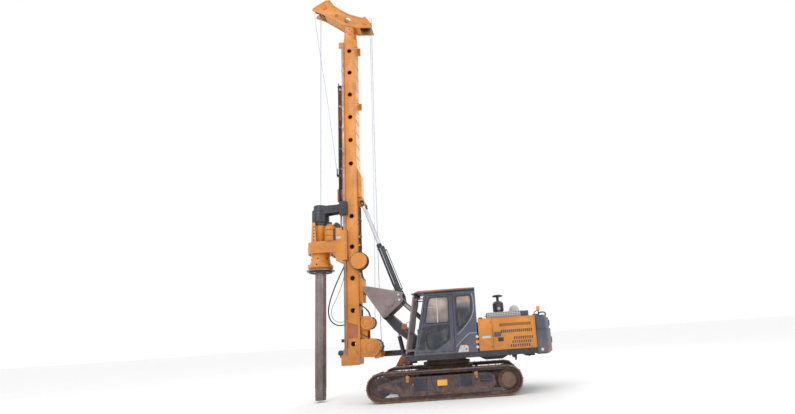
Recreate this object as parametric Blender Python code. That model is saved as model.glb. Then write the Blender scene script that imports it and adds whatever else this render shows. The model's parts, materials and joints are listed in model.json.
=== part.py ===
"""Rotary piling rig on a tracked carrier, built as separate parts that move on real joints.

Metres, +Z up. The machine faces -Y and its cab is on its left, at +X. Every shape is given
from the slewing axis; the machine empty then centres the whole rig on the world's origin.
A shape is a pair (points, faces). solid() turns shapes into one named object, with Boolean
modifiers that add and cut the others.
"""
import math

import bpy
from mathutils import Vector

# ------------------------------------------------------------------ clearances
GAP = 0.0003
BEARING_GAP = 0.0008
PAD_GAP = 0.0008
THRUST_GAP = 0.0005
RUNNING_GAP = 0.008
DOOR_GAP = 0.006

# ------------------------------------------------------------------ facets of round shapes
WHEEL_SIDES = 22
BAR_SIDES = 14
PIN_SIDES = 10
WIRE_SIDES = 6

# ------------------------------------------------------------------ undercarriage
TRACK_GAUGE = 2.0
SHOE_WIDTH = 0.5
WHEELBASE = 3.28
TRACK_RADIUS = 0.385
GROUSER_HEIGHT = 0.022
SHOE_PLATE = 0.014
CHAIN_DEPTH = 0.075
CHAIN_WIDTH = 0.17
SHOE_COUNT = 46
ROLLER_RADIUS = 0.075
ROLLER_COUNT = 7
CARRIER_RADIUS = 0.055
AXLE_RADIUS = 0.045
TRACK_BEAM_HALF = 0.15
SPROCKET_COVER_RADIUS = 0.2

# ------------------------------------------------------------------ upper structure
FRAME_BOTTOM = 1.0
FRAME_DEPTH = 0.13
UPPER_HALF_WIDTH = 1.2
FRAME_REAR = 2.46
CAB_BAY_FRONT = -1.0
NOSE_FRONT = -1.12
NOSE_HALF_WIDTH = 0.3
TAIL_RADIUS = 2.98
TAIL_BOTTOM = 0.97
HOUSING_HEIGHT = 0.84
HOUSING_FRONT = 0.955
HOUSING_WALL = 0.04
PANEL = 0.028

# ------------------------------------------------------------------ cab
CAB_INNER_X = 0.31
CAB_OUTER_X = 1.2
CAB_HEIGHT = 1.6
WINDOW_DROP = 0.1303
WINDSCREEN_DROP = 0.1103
CAB_FRONT_BOTTOM = -0.75
CAB_FRONT_TOP = -0.42
CAB_REAR = 0.92
DOOR_REAR = 0.33
CAB_WALL = 0.05
GLASS = 0.008
GUARD_REACH = 0.22

# ------------------------------------------------------------------ front linkage pins (Y, Z)
BOOM_FOOT = (-0.75, 1.42)
BOOM_HEAD = (-1.667, 2.31)
LINK_HEAD = (-1.23, 2.68)
MAST_PIN = (-2.156, 3.037)
KNUCKLE_FACE = -2.3
TILT_BASE = (-1.25, 2.83)
TILT_EYE = (-2.285, 5.70)
LIFT_BASE = (-1.20, 1.10)
LIFT_EYE = (-1.374, 1.914)
CROSS_TUBE = (-1.533, 2.665)
PIN_RADIUS = 0.045
SMALL_PIN_RADIUS = 0.035
BOOM_HALF_WIDTH = 0.17
BOOM_PLATE = 0.04
TOWER_INSIDE = 0.2
LINK_HALF_WIDTH = 0.1
TRIANGLE_INSIDE = 0.30
TRIANGLE_PLATE = 0.04
TILT_CYLINDER_X = 0.2
TILT_BARREL_RADIUS = 0.07
TILT_ROD_RADIUS = 0.0375
TILT_BARREL_LENGTH = 1.62
TILT_ROD_LENGTH = 1.635
LIFT_ROD_LENGTH = 0.56
LIFT_BARREL_RADIUS = 0.06
LIFT_ROD_RADIUS = 0.033
LIFT_BARREL_LENGTH = 0.58
CYLINDER_WALL = 0.02
CYLINDER_END = 0.03
PISTON = 0.04

# ------------------------------------------------------------------ mast
MAST_BOTTOM = 0.96
MAST_TOP = 11.28
MAST_FRONT = -2.775
MAST_REAR = -2.42
MAST_HALF_WIDTH = 0.22
MAST_WALL = 0.014
RAIL_FRONT = -2.84
RAIL_HALF_WIDTH = 0.28
HOLE_RADIUS = 0.07
LOWER_HOLE_FIRST = 1.536
LOWER_HOLE_PITCH = 0.939
LOWER_HOLE_COUNT = 5
UPPER_HOLE_FIRST = 6.972
UPPER_HOLE_PITCH = 0.78
UPPER_HOLE_COUNT = 6
HEAD_HALF_WIDTH = 0.2
HEAD_PLATE = 0.03

# ------------------------------------------------------------------ crowd, rotary drive, kelly
KELLY_Y = -3.607
KELLY_RADIUS = 0.15
KELLY_BORE = 0.118
KELLY_BOTTOM = 0.16
KELLY_TOP = 5.58
INNER_KELLY_RADIUS = 0.108
TOOL_STUB_BOTTOM = 0.05
CROWD_Y = -2.98
CROWD_RADIUS = 0.065
CROWD_BORE = 0.048
CROWD_ROD_RADIUS = 0.032
CROWD_BOTTOM = 6.19
CROWD_TOP = 9.74
CARRIAGE_BOTTOM = 3.95
CARRIAGE_TOP = 4.93
CARRIAGE_HALF_WIDTH = 0.34
CARRIAGE_FRONT = -3.05
CARRIAGE_REAR = -2.87
GEAR_CASE_BOTTOM = 4.21
GEAR_CASE_TOP = 4.55
GEAR_CASE_RADIUS = 0.365
SLEEVE_RADIUS = 0.2
DRIVE_TOP = 5.09
DRIVE_BOTTOM = 3.68
DRIVE_BORE = 0.165
FLANGE_RADIUS = 0.4
REDUCER_X = 0.22
REDUCER_Y = -3.245
REDUCER_RADIUS = 0.165
GUIDE_BOTTOM = 5.10
GUIDE_TOP = 5.72
GUIDE_RADIUS = 0.245
GUIDE_ARM_X = 0.13
HOSE_DIAMETER = 0.036
HOSE_HANG_X = -0.54

# ------------------------------------------------------------------ winches (Y, Z) and sheaves
MAIN_WINCH = (-2.064, 1.401)
AUX_WINCH = (-2.188, 2.099)
SERVICE_WINCH = (-2.351, 3.876)
MAIN_SHEAVE_RADIUS = 0.19
FRONT_SHEAVE = (-3.417, MAST_TOP + 1.32)
REAR_SHEAVE = (-2.08, MAST_TOP + 0.62)

# ------------------------------------------------------------------ derived places
TRACK_X = TRACK_GAUGE / 2
AXLE_Z = TRACK_RADIUS
PLATE_RADIUS = TRACK_RADIUS - GROUSER_HEIGHT
LOOP_LENGTH = 2 * WHEELBASE + 2 * math.pi * PLATE_RADIUS
CHAIN_OUTER = PLATE_RADIUS - SHOE_PLATE
CHAIN_INNER = CHAIN_OUTER - CHAIN_DEPTH
FRAME_TOP = FRAME_BOTTOM + FRAME_DEPTH
HOUSING_TOP = FRAME_TOP + HOUSING_HEIGHT
CAB_FLOOR = FRAME_TOP + GAP
CAB_TOP = CAB_FLOOR + CAB_HEIGHT
WINDOW_TOP = CAB_TOP - WINDOW_DROP
WINDSCREEN_TOP = CAB_TOP - WINDSCREEN_DROP
LINK_FOOT = (LINK_HEAD[0] + BOOM_FOOT[0] - BOOM_HEAD[0], LINK_HEAD[1] + BOOM_FOOT[1] - BOOM_HEAD[1])
FRONT_REACH = KELLY_Y - FLANGE_RADIUS
SLEW_Y = -(FRONT_REACH + TAIL_RADIUS) / 2

ORANGE = (0.72, 0.26, 0.03)
DARK = (0.06, 0.07, 0.09)
SLATE = (0.16, 0.18, 0.22)
DUSTY = (0.32, 0.27, 0.24)
BLACK = (0.02, 0.02, 0.022)
STEEL = (0.45, 0.45, 0.47)
CHROME = (0.72, 0.73, 0.75)
RUST = (0.17, 0.09, 0.06)
PALE = (0.7, 0.7, 0.68)
CLEAR = (0.5, 0.6, 0.62)


# ================================================================== shapes
def outward(points, faces):
    """The same shape with its faces turned to look out."""
    volume = 0.0
    for face in faces:
        first = Vector(points[face[0]])
        for second, third in zip(face[1:], face[2:]):
            volume += first.dot(Vector(points[second]).cross(Vector(points[third])))
    if volume < 0:
        faces = [tuple(reversed(face)) for face in faces]
    return points, faces


def prism(axis, outline, low, high):
    """An outline drawn across an axis and run along it: x takes (y, z), y (x, z), z (x, y)."""
    place = {"x": lambda a, b, t: (t, a, b), "y": lambda a, b, t: (a, t, b), "z": lambda a, b, t: (a, b, t)}
    count = len(outline)
    points = [place[axis](a, b, low) for a, b in outline] + [place[axis](a, b, high) for a, b in outline]
    faces = [tuple(range(count)), tuple(range(2 * count - 1, count - 1, -1))]
    for index in range(count):
        after = (index + 1) % count
        faces.append((after, index, index + count, after + count))
    return outward(points, faces)


def block(x_range, y_range, z_range):
    """A box between two limits on each axis."""
    (x0, x1), (y0, y1) = x_range, y_range
    return prism("z", [(x0, y0), (x1, y0), (x1, y1), (x0, y1)], *z_range)


def turned(origin, direction, profile, sides=WHEEL_SIDES, closed=False):
    """A profile of (distance along, radius) turned about a line; closed gives it a bore."""
    along = Vector(direction).normalized()
    across = Vector((0, 1, 0)) if abs(along.y) < 0.7 else Vector((1, 0, 0))
    across = (across - along * across.dot(along)).normalized()
    third = along.cross(across)
    points, rings = [], []
    for distance, radius in profile:
        centre = Vector(origin) + along * distance
        if radius == 0:
            rings.append([len(points)])
            points.append(tuple(centre))
            continue
        rings.append([len(points) + index for index in range(sides)])
        for index in range(sides):
            angle = 2 * math.pi * index / sides
            points.append(tuple(centre + (across * math.cos(angle) + third * math.sin(angle)) * radius))
    faces = []
    pairs = list(zip(rings, rings[1:]))
    if closed:
        pairs.append((rings[-1], rings[0]))
    for here, there in pairs:
        for index in range(sides):
            after = (index + 1) % sides
            face = [here[index % len(here)], here[after % len(here)]]
            face += [there[after % len(there)], there[index % len(there)]]
            face = tuple(dict.fromkeys(face))
            if len(face) > 2:
                faces.append(face)
    if not closed:
        for ring in (rings[0], rings[-1]):
            if len(ring) > 1:
                faces.append(tuple(ring) if ring is rings[-1] else tuple(reversed(ring)))
    return outward(points, faces)


def rod(start, end, radius, sides=PIN_SIDES):
    """A round bar from one point to another."""
    length = (Vector(end) - Vector(start)).length
    return turned(start, Vector(end) - Vector(start), [(0, radius), (length, radius)], sides)


def cross_rod(place, radius, low, high, sides=PIN_SIDES):
    """A round bar along X at a (y, z) place."""
    return rod((low, *place), (high, *place), radius, sides)


def bore_radius(radius, sides):
    """The radius of a bore that a shaft of the given radius turns in, flats and all."""
    return (radius + BEARING_GAP) / math.cos(math.pi / sides)


def mirrored(shape):
    """The same shape on the machine's other side."""
    points, faces = shape
    return outward([(-x, y, z) for x, y, z in points], faces)


def joined(*shapes):
    """Several shapes that do not touch, as one."""
    points, faces = [], []
    for shape_points, shape_faces in shapes:
        offset = len(points)
        points += shape_points
        faces += [tuple(index + offset for index in face) for face in shape_faces]
    return points, faces


def both_sides(shape):
    """A shape and its mirror image."""
    return joined(shape, mirrored(shape))


def hull(circles, steps=3):
    """The outline stretched round several circles (a, b, radius)."""
    cloud = []
    for a, b, radius in circles:
        for index in range(4 * steps):
            angle = 2 * math.pi * index / (4 * steps)
            cloud.append((round(a + radius * math.cos(angle), 6), round(b + radius * math.sin(angle), 6)))
    cloud = sorted(set(cloud))

    def half(sequence):
        chain = []
        for point in sequence:
            while len(chain) > 1 and turn(chain[-2], chain[-1], point) <= 1e-9:
                chain.pop()
            chain.append(point)
        return chain[:-1]

    return half(cloud) + half(reversed(cloud))


def turn(a, b, c):
    """Positive where a, b, c turn left."""
    return (b[0] - a[0]) * (c[1] - a[1]) - (b[1] - a[1]) * (c[0] - a[0])


def rounded(outline, radius, steps=3):
    """An outline with each corner cut back to an arc of about the radius."""
    result = []
    count = len(outline)
    for index, corner in enumerate(outline):
        here = Vector(corner)
        before = Vector(outline[index - 1]) - here
        after = Vector(outline[(index + 1) % count]) - here
        reach = min(radius, before.length * 0.45, after.length * 0.45)
        start = here + before.normalized() * reach
        end = here + after.normalized() * reach
        for step in range(steps + 1):
            t = step / steps
            point = start * (1 - t) ** 2 + here * 2 * t * (1 - t) + end * t ** 2
            result.append((point.x, point.y))
    return result


def between(start, end, share):
    """A point part of the way from start to end."""
    return tuple(a + (b - a) * share for a, b in zip(start, end))


# ================================================================== objects
def material(name, colour, roughness, metallic=0.0):
    """A plain Principled material."""
    made = bpy.data.materials.new(name)
    made.use_nodes = True
    shader = made.node_tree.nodes["Principled BSDF"]
    shader.inputs["Base Color"].default_value = (*colour, 1.0)
    shader.inputs["Roughness"].default_value = roughness
    shader.inputs["Metallic"].default_value = metallic
    return made


def mesh_object(name, shape, pivot):
    """An object whose origin is at the pivot, from a shape in machine coordinates."""
    points, faces = shape
    mesh = bpy.data.meshes.new(name)
    mesh.from_pydata([tuple(Vector(point) - Vector(pivot)) for point in points], [], faces)
    mesh.validate()
    made = bpy.data.objects.new(name, mesh)
    bpy.context.scene.collection.objects.link(made)
    made.parent = machine
    made.location = pivot
    return made


def solid(name, finish, shape, pivot=(0, 0, 0), add=(), cut=(), smooth=False):
    """One named part: a first shape, the shapes added to it, then the shapes cut from it."""
    made = mesh_object(name, shape, pivot)
    made.data.materials.append(material(name, *finish))
    operands = [("UNION", other) for other in add] + [("DIFFERENCE", other) for other in cut]
    for number, (operation, other) in enumerate(operands):
        tool = mesh_object(f"{name}_{operation.lower()}_{number}", other, pivot)
        tool.hide_render = True
        tool.display_type = "WIRE"
        modifier = made.modifiers.new(tool.name, "BOOLEAN")
        modifier.operation = operation
        modifier.object = tool
    if smooth:
        made.data.shade_smooth()
        made.data.set_sharp_from_angle(angle=math.radians(35))
    return made


PAINT = (ORANGE, 0.4)
BODY = (SLATE, 0.5)
IRON = (DARK, 0.6)
BLACK_PAINT = (BLACK, 0.45)
DIRTY = (DUSTY, 0.75)
EARTHY = (RUST, 0.85)
BARE_STEEL = (STEEL, 0.45, 0.9)
BRIGHT_ROD = (CHROME, 0.15, 1.0)
WINDOW = (CLEAR, 0.05)


# ================================================================== undercarriage
def track_point(distance, radius):
    """A point (y, z) on the loop, a distance along it from the front lower end of the straight."""
    neutral = PLATE_RADIUS
    arc = math.pi * neutral
    half = WHEELBASE / 2
    distance %= 2 * WHEELBASE + 2 * arc
    if distance < WHEELBASE:
        return (-half + distance, AXLE_Z - radius)
    distance -= WHEELBASE
    if distance < arc:
        angle = distance / neutral - math.pi / 2
        return (half + radius * math.cos(angle), AXLE_Z + radius * math.sin(angle))
    distance -= arc
    if distance < WHEELBASE:
        return (half - distance, AXLE_Z + radius)
    distance -= WHEELBASE
    angle = distance / neutral + math.pi / 2
    return (-half + radius * math.cos(angle), AXLE_Z + radius * math.sin(angle))


def swept_loop(section):
    """A closed section of (x, radius) points carried round the track loop, one facet a shoe."""
    step = LOOP_LENGTH / SHOE_COUNT
    count = len(section)
    points = []
    for index in range(SHOE_COUNT):
        for x, radius in section:
            points.append((x, *track_point(index * step, radius)))
    faces = []
    for index in range(SHOE_COUNT):
        here, there = count * index, count * ((index + 1) % SHOE_COUNT)
        for corner in range(count):
            after = (corner + 1) % count
            faces.append((here + corner, here + after, there + after, there + corner))
    return outward(points, faces)


def grousers(low, high):
    """The bars across the shoes, sunk a little into their plates."""
    pitch = LOOP_LENGTH / SHOE_COUNT
    half, sink = 0.011, 0.006
    shapes = []
    for index in range(SHOE_COUNT):
        start = Vector(track_point(index * pitch, PLATE_RADIUS))
        end = Vector(track_point((index + 1) * pitch, PLATE_RADIUS))
        middle, along = (start + end) / 2, (end - start).normalized()
        out = Vector((along.y, -along.x))
        corners = [middle - along * half - out * sink, middle + along * half - out * sink,
                   middle + along * half + out * GROUSER_HEIGHT, middle - along * half + out * GROUSER_HEIGHT]
        shapes.append(prism("x", [tuple(corner) for corner in corners], low, high))
    return joined(*shapes)


def chain_clear_radius():
    """The largest radius that turns inside the faceted chain."""
    step = LOOP_LENGTH / SHOE_COUNT / PLATE_RADIUS
    return CHAIN_INNER * math.cos(step / 2) - GAP


def undercarriage(side, x):
    """The track, its frame with rollers and idler, and its sprocket on one side."""
    out = 1 if x > 0 else -1
    half = WHEELBASE / 2
    wheel = chain_clear_radius()

    def span(low, high):
        return sorted((x + out * low, x + out * high))

    low, high = x - SHOE_WIDTH / 2, x + SHOE_WIDTH / 2
    chain_low, chain_high = x - CHAIN_WIDTH / 2, x + CHAIN_WIDTH / 2
    section = [(low, PLATE_RADIUS), (high, PLATE_RADIUS), (high, CHAIN_OUTER), (chain_high, CHAIN_OUTER),
               (chain_high, CHAIN_INNER), (chain_low, CHAIN_INNER), (chain_low, CHAIN_OUTER), (low,
                                                                                               CHAIN_OUTER)]
    solid(f"track_{side}", EARTHY, swept_loop(section), add=[grousers(low + 0.004, high - 0.004)])

    beam = rounded([(-1.25, 0.2), (1.2, 0.2), (1.32, 0.32), (1.28, 0.54), (1.1, 0.6), (-1.1, 0.6),
                    (-1.3, 0.52), (-1.34, 0.3)], 0.05)
    roller_z = AXLE_Z - CHAIN_INNER + GAP + ROLLER_RADIUS
    carrier_z = AXLE_Z + CHAIN_INNER - GAP - CARRIER_RADIUS
    rollers = []
    for number in range(ROLLER_COUNT):
        y = (number - (ROLLER_COUNT - 1) / 2) * 0.36
        rollers.append(cross_rod((y, roller_z), ROLLER_RADIUS, x - 0.12, x + 0.12))
    carriers = [cross_rod((y, carrier_z), CARRIER_RADIUS, x - 0.1, x + 0.1) for y in (-0.95, 0.82)]
    fork = hull([(-half, AXLE_Z, 0.1), (-1.25, AXLE_Z + 0.08, 0.1), (-1.25, AXLE_Z - 0.06, 0.1)])
    arm = hull([(half, AXLE_Z, 0.16), (1.15, AXLE_Z + 0.08, 0.12), (1.15, AXLE_Z - 0.05, 0.12)])
    guard = [(-1.2, 0.125), (1.15, 0.125), (1.2, 0.3), (-1.25, 0.3)]
    forks = joined(prism("x", fork, *span(-0.15, -0.1)), prism("x", fork, *span(0.1, 0.15)))
    guards = joined(prism("x", guard, *span(0.125, 0.14)), prism("x", guard, *span(-0.14, -0.125)))
    idler = [(-0.18, 0.0), (-0.18, AXLE_RADIUS), (-0.09, AXLE_RADIUS), (-0.09, 0.1), (-0.05, 0.11)]
    idler += [(-0.05, wheel)]
    idler += [(-distance, radius) for distance, radius in reversed(idler)]
    solid(f"track_frame_{side}", EARTHY,
          prism("x", beam, *span(-TRACK_BEAM_HALF + 0.005, TRACK_BEAM_HALF - 0.005)),
          add=[joined(*rollers), joined(*carriers), forks, prism("x", arm, *span(-0.155, -0.115)), guards,
               turned((x, -half, AXLE_Z), (out, 0, 0), idler, BAR_SIDES)])

    sprocket = [(-0.115 + GAP, 0.0), (-0.115 + GAP, 0.14), (-0.04, 0.14), (-0.04, wheel - 0.02),
                (-0.03, wheel)]
    sprocket += [(0.03, wheel), (0.04, wheel - 0.02), (0.04, SPROCKET_COVER_RADIUS + 0.01)]
    sprocket += [(0.16, SPROCKET_COVER_RADIUS), (0.19, 0.17), (0.2, 0.09), (0.2, 0.0)]
    solid(f"sprocket_{side}", EARTHY, turned((x, half, AXLE_Z), (out, 0, 0), sprocket), smooth=True)


def car_body():
    """The middle of the undercarriage: two cross beams and the slewing ring on top."""
    reach = TRACK_X - TRACK_BEAM_HALF + 0.005 - GAP
    beam = [(-reach, 0.34), (-0.45, 0.42), (0.45, 0.42), (reach, 0.34), (reach, 0.56), (0.5, 0.76),
            (-0.5, 0.76), (-reach, 0.56)]
    housing = [(0.4, 0.0), (0.4, 0.5), (0.46, 0.6), (0.8, 0.6), (0.84, 0.66), (0.9, 0.66), (0.9, 0.56)]
    housing += [(FRAME_BOTTOM - GAP, 0.56), (FRAME_BOTTOM - GAP, 0.0)]
    beams = joined(prism("y", beam, -0.72, -0.36), prism("y", beam, 0.36, 0.72))
    solid("car_body", EARTHY, turned((0, 0, 0), (0, 0, 1), housing), add=[beams], smooth=False)


# ================================================================== upper structure
def upper_frame():
    """The slewing deck, its nose, and the tower that carries boom and link."""
    width = UPPER_HALF_WIDTH
    deck = [(-width, -0.95), (-NOSE_HALF_WIDTH, -0.95), (-NOSE_HALF_WIDTH, NOSE_FRONT),
            (NOSE_HALF_WIDTH, NOSE_FRONT), (NOSE_HALF_WIDTH, CAB_BAY_FRONT), (width, CAB_BAY_FRONT),
            (width, FRAME_REAR), (-width, FRAME_REAR)]
    tower = hull([(*BOOM_FOOT, 0.14), (*LINK_FOOT, 0.11), (-1.0, 1.17, 0.06), (0.08, 1.17, 0.06)])
    tower = [(y, max(z, FRAME_TOP - 0.02)) for y, z in tower]
    lug = hull([(*LIFT_BASE, 0.06), (-1.08, 1.06, 0.05), (-1.08, 1.16, 0.05)])
    eye_lug = rounded([(-1.36, 0.86), (-0.9, 0.86), (-0.9, 1.06), (-1.2, 1.06)], 0.03)
    inner = TOWER_INSIDE
    towers = both_sides(prism("x", tower, inner, inner + 0.04))
    lugs = both_sides(prism("x", lug, 0.075, 0.105))
    pins = joined(cross_rod(BOOM_FOOT, PIN_RADIUS, -inner - 0.055, inner + 0.055),
                  cross_rod(LINK_FOOT, SMALL_PIN_RADIUS, -inner - 0.055, inner + 0.055),
                  cross_rod(LIFT_BASE, SMALL_PIN_RADIUS, -0.12, 0.12))
    beam = block((-0.64, -0.52), (-1.95, -0.8), (FRAME_TOP - 0.02, FRAME_TOP + 0.14))
    solid("upper_frame", IRON, prism("z", deck, FRAME_BOTTOM, FRAME_TOP),
          add=[towers, lugs, pins, beam, both_sides(prism("x", eye_lug, 0.44, 0.5))],
          cut=[both_sides(cross_rod((-1.14, 0.93), 0.05, 0.4, 0.55))])


def tail_outline(inset):
    """The plan of the counterweight, curved about the slewing axis."""
    radius = TAIL_RADIUS - inset
    edge = math.asin((UPPER_HALF_WIDTH - inset) / radius)
    arc = []
    for step in range(17):
        angle = -edge + 2 * edge * step / 16
        arc.append((radius * math.sin(angle), radius * math.cos(angle)))
    return [(-UPPER_HALF_WIDTH + inset, FRAME_REAR + GAP)] + arc + [(UPPER_HALF_WIDTH - inset,
                                                                     FRAME_REAR + GAP)]


def counterweight():
    """The cast weight across the tail, in a lower and an upper course."""
    seam = 1.6
    lower = prism("z", tail_outline(0.0), TAIL_BOTTOM + 0.04, seam)
    foot = prism("z", tail_outline(0.05), TAIL_BOTTOM, TAIL_BOTTOM + 0.05)
    upper = prism("z", tail_outline(0.03), seam - 0.01, 1.9)
    crown = prism("z", tail_outline(0.08), 1.89, HOUSING_TOP)
    solid("counterweight", BODY, lower, add=[foot, upper, crown])


def engine_housing():
    """The walls round the engine, with doorways at the sides and a hatch on top."""
    width = UPPER_HALF_WIDTH - PANEL - 0.002
    rear = FRAME_REAR - 0.01
    bottom = FRAME_TOP + GAP
    inside = block((-width + HOUSING_WALL, width - HOUSING_WALL),
                   (HOUSING_FRONT + HOUSING_WALL, rear - HOUSING_WALL),
                   (bottom - 0.05, HOUSING_TOP - HOUSING_WALL))
    doorways = []
    for low, high in ((HOUSING_FRONT + 0.06, 1.28), (1.38, rear - 0.06)):
        doorways.append(block((width - 0.1, width + 0.1), (low, high), (bottom + 0.06, HOUSING_TOP - 0.1)))
    right = block((-width - 0.1, -width + 0.1), (1.38, rear - 0.06), (bottom + 0.06, HOUSING_TOP - 0.1))
    hatch = block((0.46, 0.98), (1.28, 2.2), (HOUSING_TOP - 0.1, HOUSING_TOP + 0.1))
    shell = block((-width, width), (HOUSING_FRONT, rear), (bottom, HOUSING_TOP))
    solid("engine_housing", BODY, shell, cut=[inside, joined(*doorways, right, hatch)])
    solid("engine", IRON, block((-0.75, 0.35), (1.3, 2.2), (FRAME_TOP + GAP, FRAME_TOP + 0.72)))


def side_doors():
    """The hinged panels over the engine, each on an upright hinge at one end."""
    face = UPPER_HALF_WIDTH - PANEL - 0.002 + GAP
    bottom, top = FRAME_TOP + 0.012, HOUSING_TOP - 0.005
    split = 1.33
    rear = FRAME_REAR - 0.006
    barrel = 0.012
    doors = (("engine_door_front", 1, HOUSING_FRONT, split - DOOR_GAP / 2, HOUSING_FRONT),
             ("engine_door_rear", 1, split + DOOR_GAP / 2, rear, rear),
             ("engine_door_right", -1, split + DOOR_GAP / 2, rear, rear))
    for name, side, front, back, hinge in doors:
        edge = barrel if hinge == front else -barrel
        pivot = (side * (face + PANEL), hinge + edge, bottom)
        free = back if hinge == front else front
        plan = [(face, hinge + edge + edge / 6), (face + 0.01, hinge), (face + PANEL, hinge),
                (face + PANEL, free),
                (face, free)]
        solid(name, PAINT if side > 0 else BODY, prism("z", [(side * x, y) for x, y in plan], bottom, top),
              pivot,
              add=[turned(pivot, (0, 0, 1), [(0.02, barrel), (top - bottom - 0.02, barrel)], PIN_SIDES)])


def hood():
    """The raised cover over the engine hatch, hinged along its rear edge."""
    low = HOUSING_TOP + GAP
    pivot = (0.72, 2.32, low + 0.012)
    cover = block((0.42, 1.02), (1.2, 2.32), (low, low + 0.14))
    hollow = block((0.44, 1.0), (1.22, 2.3), (low - 0.1, low + 0.12))
    solid("engine_hood", DIRTY, cover, pivot, cut=[hollow],
          add=[cross_rod((2.32, low + 0.012), 0.012, 0.46, 0.98)])


def deck_items():
    """The air cleaner, exhaust dome and right-hand tanks on the deck."""
    top = HOUSING_TOP + GAP
    x, y = 0.15, 1.57
    cleaner = [(0.0, 0.0), (0.0, 0.06), (0.14, 0.06), (0.15, 0.13), (0.22, 0.155), (0.42, 0.155),
               (0.47, 0.12),
               (0.5, 0.04), (0.6, 0.04), (0.61, 0.13), (0.66, 0.13), (0.68, 0.05), (0.68, 0.0)]
    solid("air_cleaner", BLACK_PAINT, turned((x, y, top), (0, 0, 1), cleaner), smooth=True)
    dome = [(0.0, 0.0), (0.0, 0.15), (0.18, 0.15), (0.26, 0.13), (0.32, 0.09), (0.345, 0.04), (0.35, 0.0)]
    solid("exhaust_cover", (PALE, 0.5), turned((0.15, 2.02, top), (0, 0, 1), dome), smooth=True)
    front, width = -0.93, UPPER_HALF_WIDTH - 0.01
    tank = rounded([(front + 0.45, FRAME_TOP + GAP), (HOUSING_FRONT - GAP, FRAME_TOP + GAP),
                    (HOUSING_FRONT - GAP, 1.93), (front + 0.5, 1.93)], 0.04)
    solid("side_tank", BODY, prism("x", tank, -width, -0.32))
    box = rounded([(front, FRAME_TOP + GAP), (front + 0.45 - GAP, FRAME_TOP + GAP),
                   (front + 0.45 - GAP, 1.55), (front + 0.04, 1.55)], 0.03)
    solid("tool_box", IRON, prism("x", box, -width, -0.66))


# ================================================================== cab
def front_y(z):
    """Where the cab's sloping front is at a height."""
    return CAB_FRONT_BOTTOM + (CAB_FRONT_TOP - CAB_FRONT_BOTTOM) * (z - CAB_FLOOR) / CAB_HEIGHT


def cab_profile(inset, floor, roof):
    """The side outline of the cab, set in by a wall."""
    low, high = CAB_FLOOR + floor, CAB_TOP - roof
    rear = CAB_REAR - inset
    return [(front_y(low) + inset, low), (rear, low), (rear, high), (front_y(high) + inset, high)]


def door_outline(inset):
    """The door's outline (y, z), set in by a clearance."""
    low, high, rear = CAB_FLOOR + 0.06 + inset, CAB_TOP - 0.07 - inset, DOOR_REAR - inset
    return [(front_y(low) + 0.06 + inset, low), (rear, low), (rear, high),
            (front_y(high) + 0.06 + inset, high)]


def door_window(inset):
    """The upper window of the door."""
    low, high, rear = 1.94 + inset, WINDOW_TOP - inset, 0.2 - inset
    return rounded([(front_y(low) + 0.15 + inset, low), (rear, low), (rear, high),
                    (front_y(high) + 0.15 + inset, high)], 0.05)


def lower_window(inset):
    """The cut-off window low in the door."""
    return rounded([(-0.42 + inset, 1.46), (-0.36 + inset, 1.30 + inset), (-0.16, 1.28 + inset),
                    (0.2 - inset, 1.52 + inset), (0.2 - inset, 1.82 - inset), (-0.42 + inset,
                                                                               1.66 - inset)], 0.03)


def quarter_window(inset):
    """The window behind the door."""
    return rounded([(0.42 + inset, 1.68 + inset), (0.66 - inset, 1.92 + inset), (0.8 - inset, 2.14),
                    (0.8 - inset, WINDOW_TOP - inset), (0.42 + inset, WINDOW_TOP - inset)], 0.05)


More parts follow.
